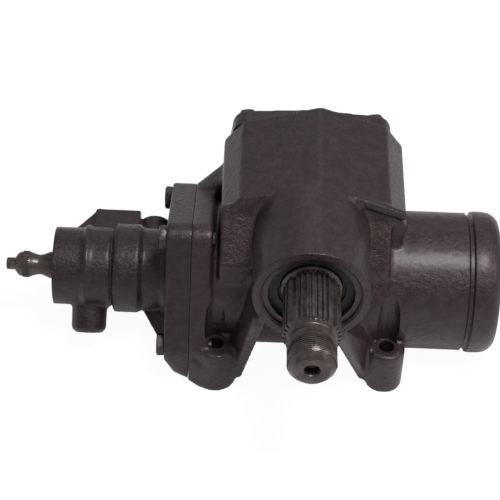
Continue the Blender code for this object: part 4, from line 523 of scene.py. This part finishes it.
# %% Paint over iron and steel
BLOTCHES, SMEARS, SAND_WAVES, SAND_GRAINS = 170, 420, 380, 1300  # how many to a metre
COAT_ROUGHNESS = 0.3
SPECULAR = 0.35
TONE_STOPS = (0.38, 0.64)
NOISE_LOW, NOISE_HIGH = 0.3, 0.7
GLOSS_DROP, GLOSS_RISE = 0.08, 0.1


def finish(name, dark, light, roughness, metal=0.0, grain=0.0, skin=0.0, coat=0.0):
    """A finish of two mixed tones and uneven gloss, with a fine grain and a coarser skin in millimetres."""
    made = bpy.data.materials.new(name)
    made.use_nodes = True
    nodes, link = made.node_tree.nodes, made.node_tree.links.new
    surface = nodes["Principled BSDF"]
    surface.inputs["Metallic"].default_value = metal
    surface.inputs["Specular IOR Level"].default_value = SPECULAR
    surface.inputs["Coat Weight"].default_value = coat
    surface.inputs["Coat Roughness"].default_value = COAT_ROUGHNESS
    place = nodes.new("ShaderNodeTexCoord").outputs["Object"]

    def noise(scale, detail):
        made_noise = nodes.new("ShaderNodeTexNoise")
        made_noise.inputs["Scale"].default_value = scale
        made_noise.inputs["Detail"].default_value = detail
        link(place, made_noise.inputs["Vector"])
        return made_noise.outputs["Fac"]

    tones = nodes.new("ShaderNodeValToRGB")
    for stop, position, tone in zip(tones.color_ramp.elements, TONE_STOPS, (dark, light)):
        stop.position = position
        stop.color = (*tone, 1)
    link(noise(BLOTCHES, 6), tones.inputs["Fac"])
    link(tones.outputs["Color"], surface.inputs["Base Color"])
    gloss = nodes.new("ShaderNodeMapRange")
    gloss.inputs["From Min"].default_value = NOISE_LOW
    gloss.inputs["From Max"].default_value = NOISE_HIGH
    gloss.inputs["To Min"].default_value = roughness - GLOSS_DROP
    gloss.inputs["To Max"].default_value = roughness + GLOSS_RISE
    link(noise(SMEARS, 3), gloss.inputs["Value"])
    link(gloss.outputs["Result"], surface.inputs["Roughness"])
    normal = None
    for scale, height in ((SAND_WAVES, skin), (SAND_GRAINS, grain)):
        if not height:
            continue
        bump = nodes.new("ShaderNodeBump")
        bump.inputs["Strength"].default_value = 1.0
        bump.inputs["Distance"].default_value = height * MM
        link(noise(scale, 3), bump.inputs["Height"])
        if normal:
            link(normal, bump.inputs["Normal"])
        normal = bump.outputs["Normal"]
    if normal:
        link(normal, surface.inputs["Normal"])
    return made


print("finish mixer ready, bumps in units of", MM, "m")

# %% [markdown]
# The numbers of each finish: its dark and light tone, roughness, metal share, and the heights of its grain
# and skin in millimetres, with the weight of the clear coat last. The valve housing wears a darker copy of
# the main casting's paint, as painted shade for its side of the gear and some grime on its flange. Steel
# that is painted after turning is smoother than iron.

# %% The finishes of this gear
cast_paint = finish(
    "cast_paint", (0.030, 0.0178, 0.0174), (0.046, 0.0275, 0.0270), 0.37, 0.30, 0.40, 0.8, 0.35
)
# A darker copy of cast_paint: painted shade for the valve housing's side of the gear, and some grime.
valve_shade_and_grime_paint = finish(
    "valve_shade_and_grime_paint", (0.021, 0.0125, 0.0120), (0.034, 0.0205, 0.0200), 0.37, 0.30, 0.40, 0.8, 0.35
)
turned_paint = finish(
    "turned_paint", (0.034, 0.0235, 0.0225), (0.055, 0.0390, 0.0375), 0.36, 0.35, 0.06, 0.1, 0.2
)
shaft_paint = finish("shaft_paint", (0.078, 0.062, 0.060), (0.135, 0.112, 0.108), 0.30, 0.6, 0.05, 0.1)
bolt_paint = finish(
    "bolt_paint", (0.034, 0.0235, 0.0225), (0.055, 0.0390, 0.0375), 0.34, 0.3, 0.06, 0.1, 0.2
)
bright_steel = finish("bright_steel", (0.42, 0.41, 0.40), (0.55, 0.54, 0.53), 0.28, 1.0, 0.01, 0.0)
bearing_steel = finish("bearing_steel", (0.36, 0.36, 0.37), (0.50, 0.50, 0.51), 0.22, 1.0, 0.01, 0.0)
seat_brass = finish("seat_brass", (0.50, 0.33, 0.12), (0.62, 0.44, 0.18), 0.30, 1.0, 0.01, 0.0)
# Black rubber for the seals, also used as painted shade on the backup washer in the bore's mouth.
seal_rubber = finish("seal_rubber", (0.012, 0.012, 0.012), (0.020, 0.020, 0.021), 0.55, 0.0, 0.04, 0.0)
gasket_paper = finish(
    "gasket_paper", (0.060, 0.045, 0.032), (0.090, 0.070, 0.050), 0.80, 0.0, 0.05, 0.0
)
ring_plastic = finish("ring_plastic", (0.10, 0.08, 0.05), (0.15, 0.12, 0.08), 0.45, 0.0, 0.02, 0.0)
print("finishes mixed:", len(bpy.data.materials))

# %% [markdown]
# A piece gets its finish and the body that it moves with, and the solids that it stands for are hidden.
# The three castings are the first ones.

# %% Fit the castings
def dress(piece, material):
    piece.data.materials.clear()
    piece.data.materials.append(material)
    return piece


def fit(piece, body, slot, material, *nodes):
    """Gives a piece its finish and its body, and hides the solids that it stands for. The slot is not used.
    """
    dress(piece, material)
    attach(piece, body)
    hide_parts(*nodes)
    return piece


fit(main_casting, "housing", "iron", cast_paint, "main_housing")
fit(valve_casting, "housing", "iron", valve_shade_and_grime_paint, "valve_housing")
fit(cover_casting, "housing", "iron", cast_paint, "side_cover")
print("castings fitted:", main_casting.name, valve_casting.name, cover_casting.name)

# %% [markdown]
# The solids that stay as the CAD has them are inside or small. Each takes the finish of what it is made of,
# by the words in its name; only the backup washer wears black rubber as painted shade in the bore's mouth.

# %% Finish the solids that stay
NODE_FINISHES = [
    (("piston_ring", "sleeve_seal_ring"), ring_plastic),
    (("o_ring", "seal"), seal_rubber),
    (("gasket",), gasket_paper),
    (("port_seat",), seat_brass),
    (("ball_", "bearing"), bearing_steel),
    (("bolt", "locknut", "lash"), bolt_paint),
    # The backup washer wears the black rubber finish as painted shade in the deep mouth of the sector bore.
    (("backup_washer",), seal_rubber),
    (("plug", "retaining", "snap_ring"), turned_paint),
    (("sector_shaft", "input_shaft"), shaft_paint),
]


def finish_of(name):
    for words, material in NODE_FINISHES:
        if any(word in name for word in words):
            return material
    return bright_steel


for name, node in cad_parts.items():
    dress(node, finish_of(name))
print("finished", len(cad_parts), "solids")

# %% [markdown]
# Splines, threads and bolts repeat one small shape by a rule, which is what Geometry Nodes are for. Three
# small trees do it all: one turns copies of a drawn tooth round an axis, one winds a thread, and one sets
# a bolt on each given point. Each tree has named inputs, ends by realising its copies and setting their
# material, and its result is taken out as a plain mesh.

# %% Tools for the trees
def new_tree(name, inputs):
    """An empty geometry tree with its named inputs, each (title, socket kind, default)."""
    tree = bpy.data.node_groups.new(name, "GeometryNodeTree")
    tree.interface.new_socket("Geometry", in_out="INPUT", socket_type="NodeSocketGeometry")
    for title, kind, value in inputs:
        socket = tree.interface.new_socket(title, in_out="INPUT", socket_type="NodeSocket" + kind)
        if value is not None:
            socket.default_value = value
    tree.interface.new_socket("Geometry", in_out="OUTPUT", socket_type="NodeSocketGeometry")
    return tree


def end_tree(tree, last, source):
    """Moves the result to its place, realises it and sets its material."""
    nodes, link = tree.nodes, tree.links.new
    move = nodes.new("GeometryNodeTransform")
    realise = nodes.new("GeometryNodeRealizeInstances")
    paint = nodes.new("GeometryNodeSetMaterial")
    end = nodes.new("NodeGroupOutput")
    link(last, move.inputs["Geometry"])
    link(source.outputs["Place"], move.inputs["Translation"])
    link(source.outputs["Aim"], move.inputs["Rotation"])
    link(move.outputs["Geometry"], realise.inputs["Geometry"])
    link(realise.outputs["Geometry"], paint.inputs["Geometry"])
    link(source.outputs["Material"], paint.inputs["Material"])
    link(paint.outputs["Geometry"], end.inputs["Geometry"])


PLACING = [("Place", "Vector", (0, 0, 0)), ("Aim", "Rotation", None), ("Material", "Material", None)]


def grown(tree, name, drawing, values):
    """Runs a tree on a drawing in millimetres at the origin and returns the plain mesh object."""
    drawing.transform(Matrix.Scale(MM, 4))
    mesh = bpy.data.meshes.new(name)
    drawing.to_mesh(mesh)
    drawing.free()
    holder = bpy.data.objects.new(name, mesh)
    bpy.context.scene.collection.objects.link(holder)
    modifier = holder.modifiers.new("tree", "NODES")
    modifier.node_group = tree
    names = {item.name: item.identifier for item in tree.interface.items_tree if item.in_out == "INPUT"}
    for title, value in values.items():
        modifier[names[title]] = value
    made = shade(settled(holder, name))
    print(name, "grown with", len(made.data.polygons), "faces")
    return made


def place_of(x, y, z):
    """A drawing point as a place in the scene."""
    return tuple(DRAWING_TO_SCENE @ Vector((x, y, z)))


# %% [markdown]
# The first tree stands for a dividing head: it turns copies of one tooth round the Y axis, and leaves out
# every so-many-th copy where the maker wants a blind spline.

# %% A tree that turns teeth round a shaft
teeth_tree = new_tree("turned_teeth", [("Count", "Int", 32), ("Blind Every", "Int", 8), *PLACING])
nodes, link = teeth_tree.nodes, teeth_tree.links.new
source = nodes.new("NodeGroupInput")
line = nodes.new("GeometryNodeMeshLine")
link(source.outputs["Count"], line.inputs["Count"])
line.inputs["Offset"].default_value = (0, 0, 0)
index = nodes.new("GeometryNodeInputIndex")
share = nodes.new("ShaderNodeMath")
share.operation = "DIVIDE"
link(index.outputs["Index"], share.inputs[0])
link(source.outputs["Count"], share.inputs[1])
turn = nodes.new("ShaderNodeMath")
turn.operation = "MULTIPLY"
turn.inputs[1].default_value = math.tau
link(share.outputs["Value"], turn.inputs[0])
angles = nodes.new("ShaderNodeCombineXYZ")
link(turn.outputs["Value"], angles.inputs["Y"])
blind = nodes.new("ShaderNodeMath")
blind.operation = "MODULO"
link(index.outputs["Index"], blind.inputs[0])
link(source.outputs["Blind Every"], blind.inputs[1])
cut_here = nodes.new("ShaderNodeMath")
cut_here.operation = "GREATER_THAN"
cut_here.inputs[1].default_value = 0.5
link(blind.outputs["Value"], cut_here.inputs[0])
copies = nodes.new("GeometryNodeInstanceOnPoints")
link(line.outputs["Mesh"], copies.inputs["Points"])
link(source.outputs["Geometry"], copies.inputs["Instance"])
link(angles.outputs["Vector"], copies.inputs["Rotation"])
link(cut_here.outputs["Value"], copies.inputs["Selection"])
end_tree(teeth_tree, copies.outputs["Instances"], source)
print("teeth tree has", len(nodes), "nodes")

# %% [markdown]
# The second tree winds a thread: a spiral curve with a small square profile, set on its corner, swept
# along it. The ridge sits half sunk in the turned core, so only its crest shows.

# %% A tree that winds a thread
thread_inputs = [("Radius", "Float", 0.01), ("Pitch", "Float", 0.001)]
thread_inputs += [("Turns", "Float", 10.0), ("Depth", "Float", 0.001)]
thread_tree = new_tree("wound_thread", [*thread_inputs, *PLACING])
nodes, link = thread_tree.nodes, thread_tree.links.new
source = nodes.new("NodeGroupInput")
height = nodes.new("ShaderNodeMath")
height.operation = "MULTIPLY"
link(source.outputs["Pitch"], height.inputs[0])
link(source.outputs["Turns"], height.inputs[1])
spiral = nodes.new("GeometryNodeCurveSpiral")
spiral.inputs["Resolution"].default_value = 64
link(source.outputs["Turns"], spiral.inputs["Rotations"])
link(source.outputs["Radius"], spiral.inputs["Start Radius"])
link(source.outputs["Radius"], spiral.inputs["End Radius"])
link(height.outputs["Value"], spiral.inputs["Height"])
profile = nodes.new("GeometryNodeCurvePrimitiveCircle")
profile.inputs["Resolution"].default_value = 4
link(source.outputs["Depth"], profile.inputs["Radius"])
sweep = nodes.new("GeometryNodeCurveToMesh")
sweep.inputs["Fill Caps"].default_value = True
link(spiral.outputs["Curve"], sweep.inputs["Curve"])
link(profile.outputs["Curve"], sweep.inputs["Profile Curve"])
end_tree(thread_tree, sweep.outputs["Mesh"], source)
print("thread tree has", len(nodes), "nodes")

# %% [markdown]
# The third tree is the fitter: it sets the drawn bolt on each point of a small mesh, each turned by a
# different angle from a fixed seed, because no two bolt heads end up lined up.

# %% A tree that sets bolts
bolt_inputs = [("Bolt", "Object", None), ("Along", "Vector", (0, 0, 0)), ("Seed", "Int", 3)]
bolt_tree = new_tree("set_bolts", [*bolt_inputs, *PLACING])
nodes, link = bolt_tree.nodes, bolt_tree.links.new
source = nodes.new("NodeGroupInput")
bolt_shape = nodes.new("GeometryNodeObjectInfo")
link(source.outputs["Bolt"], bolt_shape.inputs["Object"])
chance = nodes.new("FunctionNodeRandomValue")
chance.inputs[2].default_value = 0.0  # sockets 2 and 3 are the lowest and highest plain number
chance.inputs[3].default_value = 1.0
link(source.outputs["Seed"], chance.inputs["Seed"])
turned_by = nodes.new("ShaderNodeVectorMath")
turned_by.operation = "SCALE"
link(source.outputs["Along"], turned_by.inputs[0])
link(chance.outputs[1], turned_by.inputs["Scale"])
copies = nodes.new("GeometryNodeInstanceOnPoints")
link(source.outputs["Geometry"], copies.inputs["Points"])
link(bolt_shape.outputs["Geometry"], copies.inputs["Instance"])
link(turned_by.outputs["Vector"], copies.inputs["Rotation"])
end_tree(bolt_tree, copies.outputs["Instances"], source)
print("bolt tree has", len(nodes), "nodes")

# %% [markdown]
# A hexagon bolt is forged as a hexagon and then turned, and the cone that the lathe leaves on its corners
# is what makes it look real. So the head is the part that a hexagon and a turned disc have in common. A
# thin washer face and the shank belong to the same piece.

# %% Draw a bolt
HEAD_FLATS = 13.0
HEAD_HEIGHT = 5.3
WASHER_RADIUS = 6.4
WASHER_THICK = 0.6
SHANK_RADIUS = 4.0
BOLT_LENGTH = 30.0


def hexagon(flats, start, end, axis):
    corner = flats / 2 / math.cos(math.pi / 6)
    points = []
    for along in (start, end):
        points += [on_axis(axis, (0, 0, 0), along, corner, math.tau * n / 6) for n in range(6)]
    return lump(points)


def plain_object(name, drawing):
    """A helper object at the origin from a drawing in millimetres."""
    drawing.transform(Matrix.Scale(MM, 4))
    bmesh.ops.recalc_face_normals(drawing, faces=drawing.faces)
    mesh = bpy.data.meshes.new(name)
    drawing.to_mesh(mesh)
    drawing.free()
    made = bpy.data.objects.new(name, mesh)
    bpy.context.scene.collection.objects.link(made)
    return made


def hex_head(name, flats, height, direction, axis):
    """A hexagon head that rises from the origin against the given direction.

    The lathe's cone is drawn in shares of the width over flats.
    """
    top = -direction * height
    head = plain_object(name, hexagon(flats, 0, top, axis))
    wide, rise = flats * 0.62, direction * flats * 0.06
    cone = [(0.4 * rise, 0), (0.4 * rise, flats * 0.47), (0, wide - 1), (top + rise * 1.6, wide)]
    cone += [(top, flats * 0.46), (top, 0)]
    lathe = plain_object(name + "_lathe", turned(cone, axis))
    common = head.modifiers.new("lathe", "BOOLEAN")
    common.solver = "MANIFOLD"
    common.operation = "INTERSECT"
    common.object = lathe
    return settled(head, name)


def bolt_piece(name, direction, axis):
    head = hex_head(name, HEAD_FLATS, HEAD_HEIGHT, direction, axis)
    shape = bmesh.new()
    shape.from_mesh(head.data)
    shape.transform(Matrix.Scale(1 / MM, 4))
    ends = sorted((-direction * 2, direction * BOLT_LENGTH))
    shank = [(ends[0], 0), (ends[0], SHANK_RADIUS), (ends[1], SHANK_RADIUS), (ends[1], 0)]
    add_turned(shape, shank, axis, steps=24)
    face = -direction * WASHER_THICK
    washer = [(0, 0), (0, WASHER_RADIUS), (face, WASHER_RADIUS), (face, 0)]
    add_turned(shape, washer, axis, steps=48)
    bpy.data.objects.remove(head)
    return plain_object(name, shape)


print("bolt head", HEAD_FLATS, "by", HEAD_HEIGHT, "mm")

# %% [markdown]
# The bolts stand on the two machined faces: four on the ears of the valve flange and six round the side
# cover. Each set is one piece, since all of its bolts ride on the housing, and it stands for their solids.

# %% Set the bolts
def set_bolts(name, places, direction, axis, nodes_for):
    """One bolt on each place, in one piece that stands for their solids."""
    points = bmesh.new()
    for place in places:
        points.verts.new(place)
    one = bolt_piece(name + "_one", direction, axis)
    along = {"X": (math.tau, 0, 0), "Y": (0, math.tau, 0)}[axis]
    values = {"Bolt": one, "Along": along, "Place": place_of(0, 0, 0), "Material": bolt_paint}
    made = grown(bolt_tree, name, points, values)
    bpy.data.objects.remove(one)
    return fit(made, "housing", "fastener", bolt_paint, *nodes_for)


flange_seat = VALVE_FLANGE_X - 0.3
set_bolts(
    "flange_bolts",
    [(flange_seat, y, z) for y, z in FLANGE_BOLTS],
    1,
    "X",
    [f"valve_housing_bolt_{number}" for number in range(1, 5)],
)
set_bolts(
    "side_cover_bolts",
    [(x, COVER_OUTER_Y + 0.3, z) for x, z in COVER_BOLTS],
    -1,
    "Y",
    [f"cover_bolt_{number}" for number in range(1, 7)],
)

# %% [markdown]
# The sector shaft is the gear's output, and the photograph looks straight at it. Its inner half, with the
# three big teeth, keeps the shape of its solid. The outer half is made anew: a turned core, splines from
# the first tree with four blind ones, and the nut's thread from the second.

# %% Sector shaft
SHAFT_CUT_Y = -66.0
SPLINE_ROOT, SPLINE_TIP = 15.6, 17.5
NUT_CORE = 14.2
SHAFT_EDGE = math.radians(26)


def inner_half(node, keep_from, axis):
    """The solid of a CAD node beyond a plane across its axis, closed again, as a drawing."""
    shape = bmesh.new()
    shape.from_mesh(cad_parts[node].data)
    shape.transform(DRAWING_TO_SCENE.inverted())
    bmesh.ops.remove_doubles(shape, verts=shape.verts, dist=0.001)
    normal = {"X": (1, 0, 0), "Y": (0, 1, 0)}[axis]
    everything = shape.verts[:] + shape.edges[:] + shape.faces[:]
    point = tuple(keep_from * value for value in normal)
    cut = bmesh.ops.bisect_plane(shape, geom=everything, plane_co=point, plane_no=normal, clear_inner=True)
    rim = [item for item in cut["geom_cut"] if isinstance(item, bmesh.types.BMEdge)]
    bmesh.ops.holes_fill(shape, edges=rim)
    return shape


shape = inner_half("sector_shaft", SHAFT_CUT_Y, "Y")
outer = [
    (SHAFT_CUT_Y - 0.5, 0),
    (SHAFT_CUT_Y - 0.5, 19.0),
    (-70.5, 19.0),
    (-71.6, SPLINE_ROOT),
    (-111.0, SPLINE_ROOT),
    (-112.5, 13.6),
    (-115.0, 13.6),
    (-116.0, NUT_CORE),
    (-134.6, NUT_CORE),
    (-138.5, 10.4),
    (-138.5, 5.2),
    (-137.0, 4.2),
    (-131.5, 4.2),
    (-129.5, 0),
]
add_turned(shape, eased(outer, 0.7), "Y", SECTOR_POINT)
pitman_shaft = shade(shape_object("pitman_shaft", shape), SHAFT_EDGE)
fit(pitman_shaft, "sector_shaft", "shaft", shaft_paint, "sector_shaft")
print("pitman shaft spans", [round(size / MM) for size in pitman_shaft.dimensions], "mm")

# %% [markdown]
# A spline is cut by a hob: straight flanks, a narrow tip, and ends that run out where the hob leaves the
# shaft. One tooth is drawn as a hull a little sunk in the core, and the first tree turns its copies. Every
# eighth one is left out, so that the arm fits in four positions only. The thread rides beside them.

# %% Splines and nut thread
SPLINE_COUNT = 32
SPLINE_START_Y, SPLINE_END_Y = -111.5, -71.5
ROOT_SHARE, TIP_SHARE = 0.34, 0.19
TOOTH_SINK = 0.5
THREAD_START_Y = -116.4
THREAD_RADIUS, THREAD_DEPTH = 14.25, 0.62
THREAD_PITCH, THREAD_TURNS = 1.5, 12.0


def spline_tooth(root, tip, count, start, end, bevel):
    """One spline, centred above the Y axis."""
    step = math.tau / count
    half_root, half_tip = root * step * ROOT_SHARE, tip * step * TIP_SHARE
    points = []
    for side in (-1, 1):
        points += [(side * half_root, y, root - TOOTH_SINK) for y in (start, end)]
        points += [(side * half_tip, y, tip) for y in (start + bevel, end - bevel)]
    return lump(points)


splines = grown(
    teeth_tree,
    "pitman_splines",
    spline_tooth(SPLINE_ROOT, SPLINE_TIP, SPLINE_COUNT, SPLINE_START_Y, SPLINE_END_Y, 1.2),
    {
        "Count": SPLINE_COUNT,
        "Blind Every": SPLINE_COUNT // 4,
        "Place": place_of(*SECTOR_POINT),
        "Aim": (0, math.radians(45), 0),
        "Material": shaft_paint,
    },
)
nut_thread = grown(
    thread_tree,
    "pitman_nut_thread",
    bmesh.new(),
    {
        "Radius": THREAD_RADIUS * MM,
        "Pitch": THREAD_PITCH * MM,
        "Turns": THREAD_TURNS,
        "Depth": THREAD_DEPTH * MM,
        "Place": place_of(0, THREAD_START_Y, SECTOR_Z),
        "Aim": (math.radians(90), 0, 0),
        "Material": shaft_paint,
    },
)
for piece in (splines, nut_thread):
    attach(dress(piece, shaft_paint), "sector_shaft")

# %% [markdown]
# The stub shaft takes the steering column's coupling. From the front it reads as a row of turned forms: a
# pilot tip, a round serrated head, a neck and a flare that goes into the dust seal. Only these are made
# anew, and the valve spool inside keeps its solid. The first tree leaves one serration out, its first.

# %% Input shaft
SERRATIONS = 40
SERRATION_ROOT, SERRATION_TIP = 8.0, 8.62
SERRATION_START_X, SERRATION_END_X = -185.2, -180.2
STUB_CUT_X = -160.0

shape = inner_half("input_shaft", STUB_CUT_X, "X")
stub = [(-195.6, 0), (-195.6, 3.3), (-195.0, 3.9), (-190.2, 3.9), (-189.4, 5.2), (-187.6, 7.4)]
stub += [(-184.6, 8.3), (-180.6, 8.3), (-178.2, 7.3), (-176.6, 6.9), (-174.8, 6.4), (-172.5, 6.5)]
stub += [(-167.5, 8.6), (-166.0, 8.8), (STUB_CUT_X + 0.5, 8.8), (STUB_CUT_X + 0.5, 0)]
add_turned(shape, eased(stub, 0.9), "X")
stub_shaft = shade(shape_object("stub_shaft", shape), SHAFT_EDGE)
fit(stub_shaft, "input_shaft", "shaft", shaft_paint, "input_shaft")
serrations = grown(
    teeth_tree,
    "stub_serrations",
    spline_tooth(SERRATION_ROOT, SERRATION_TIP, SERRATIONS, SERRATION_START_X, SERRATION_END_X, 0.5),
    {
        "Count": SERRATIONS,
        "Blind Every": SERRATIONS + 1,
        "Place": place_of(0, 0, 0),
        "Aim": (0, 0, math.radians(-90)),
        "Material": shaft_paint,
    },
)
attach(dress(serrations, shaft_paint), "input_shaft")

# %% [markdown]
# The camera stands where the photograph's stood: 42 degrees above the floor, square to the shaft, and far
# enough away for a long lens. The frame is rolled a little, as the photograph's is.

# %% Camera
CAMERA_PLACE = Vector((-0.00777, -0.80238, 0.81730))
AZIMUTH, ELEVATION, ROLL = (math.radians(angle) for angle in (-0.51, 42.31, 2.66))
SENSOR, LENS = 36.0, 124.5
flat = math.cos(ELEVATION)
back = Vector((math.sin(AZIMUTH) * flat, -math.cos(AZIMUTH) * flat, math.sin(ELEVATION)))
level = Vector((math.cos(AZIMUTH), math.sin(AZIMUTH), 0))
upright = back.cross(level)
right = math.cos(ROLL) * level + math.sin(ROLL) * upright
up = -math.sin(ROLL) * level + math.cos(ROLL) * upright
camera = bpy.data.objects.new("camera", bpy.data.cameras.new("camera"))
camera.data.sensor_width = SENSOR
camera.data.lens = LENS
camera.matrix_world = Matrix.Translation(CAMERA_PLACE) @ Matrix((right, up, back)).transposed().to_4x4()
bpy.context.scene.collection.objects.link(camera)
bpy.context.scene.camera = camera
print("camera at", [round(value, 3) for value in CAMERA_PLACE], "lens", LENS)

# %% [markdown]
# The light is a studio's: one strong lamp high up on the right, a larger and weaker one below it on the
# same side, and two faint ones, from the left and from behind, that give the round forms an edge. Lamps
# are placed by turn and height round the gear, and each looks at its centre.

# %% Lamps
scene = bpy.context.scene
scene.view_settings.view_transform = "Standard"
CENTRE = Vector((0.0, 0.0, 0.06))


def lamp(name, azimuth, elevation, distance, size, power):
    """A round soft lamp: degrees round and above the gear's centre, then metres and watts."""
    light = bpy.data.lights.new(name, "AREA")
    light.shape = "DISK"
    light.size = size
    light.energy = power
    made = bpy.data.objects.new(name, light)
    a, e = math.radians(azimuth), math.radians(elevation)
    way = Vector((math.sin(a) * math.cos(e), -math.cos(a) * math.cos(e), math.sin(e)))
    made.location = CENTRE + way * distance
    made.rotation_mode = "QUATERNION"
    made.rotation_quaternion = way.to_track_quat("Z", "Y")
    scene.collection.objects.link(made)
    return made


lamp("key_lamp", 48, 71, 1.3, 0.46, 12)
lamp("left_lamp", -70, 35, 1.5, 0.7, 0.35)
lamp("right_lamp", 75, 34, 1.5, 0.7, 3.5)
lamp("rear_lamp", 180, 40, 1.6, 0.8, 0.9)

# %% [markdown]
# The room is dim, so that the forms keep their shade, and yet it looks white: Light Path tells which rays
# come straight from the camera, and those meet full white. Reflections get a part of it, because a glossy
# paint in a white studio shows it faintly.

# %% Room
ROOM_STRENGTH = 0.18
WHITE_TO_CAMERA = 1.0
WHITE_IN_GLOSS = 0.2


def seen_share(nodes, link, to_camera):
    """How much of the white a ray meets: the camera's own rays most, reflections and refractions less."""
    rays = nodes.new("ShaderNodeLightPath")
    total = None
    shares = [("Is Camera Ray", to_camera)]
    shares += [(ray, WHITE_IN_GLOSS) for ray in ("Is Glossy Ray", "Is Transmission Ray")]
    for ray, weight in shares:
        part = nodes.new("ShaderNodeMath")
        part.operation = "MULTIPLY_ADD"
        part.use_clamp = True
        link(rays.outputs[ray], part.inputs[0])
        part.inputs[1].default_value = weight
        part.inputs[2].default_value = 0.0
        if total:
            link(total, part.inputs[2])
        total = part.outputs["Value"]
    return total


world = bpy.data.worlds.new("room")
scene.world = world
world.use_nodes = True
nodes, link = world.node_tree.nodes, world.node_tree.links.new
room = nodes["Background"]
room.inputs["Color"].default_value = (1, 1, 1, 1)
room.inputs["Strength"].default_value = ROOM_STRENGTH
seen = nodes.new("ShaderNodeBackground")
seen.inputs["Color"].default_value = (1, 1, 1, 1)
seen.inputs["Strength"].default_value = 1.0
mix = nodes.new("ShaderNodeMixShader")
link(seen_share(nodes, link, WHITE_TO_CAMERA), mix.inputs["Fac"])
link(room.outputs["Background"], mix.inputs[1])
link(seen.outputs["Background"], mix.inputs[2])
link(mix.outputs["Shader"], nodes["World Output"].inputs["Surface"])
print("room strength", ROOM_STRENGTH)

# %% [markdown]
# The floor is a plain pale disc. To the camera nine tenths of it is a white glow, which leaves only a
# faint contact shadow.

# %% Floor
FLOOR_RADIUS = 3.0
FLOOR_GLOW = 1.06
GLOW_TO_CAMERA = 0.9
PAPER_WHITE = 0.9
PAPER_ROUGHNESS = 0.9

shape = bmesh.new()
bmesh.ops.create_circle(shape, cap_ends=True, segments=64, radius=FLOOR_RADIUS)
mesh = bpy.data.meshes.new("floor")
shape.to_mesh(mesh)
shape.free()
floor = bpy.data.objects.new("floor", mesh)
scene.collection.objects.link(floor)
paper = bpy.data.materials.new("paper")
paper.use_nodes = True
nodes, link = paper.node_tree.nodes, paper.node_tree.links.new
nodes["Principled BSDF"].inputs["Base Color"].default_value = (PAPER_WHITE, PAPER_WHITE, PAPER_WHITE, 1)
nodes["Principled BSDF"].inputs["Roughness"].default_value = PAPER_ROUGHNESS
glow = nodes.new("ShaderNodeEmission")
glow.inputs["Strength"].default_value = FLOOR_GLOW
mix = nodes.new("ShaderNodeMixShader")
link(seen_share(nodes, link, GLOW_TO_CAMERA), mix.inputs["Fac"])
link(nodes["Principled BSDF"].outputs["BSDF"], mix.inputs[1])
link(glow.outputs["Emission"], mix.inputs[2])
link(mix.outputs["Shader"], nodes["Material Output"].inputs["Surface"])
dress(floor, paper)
print("floor radius", FLOOR_RADIUS, "m")
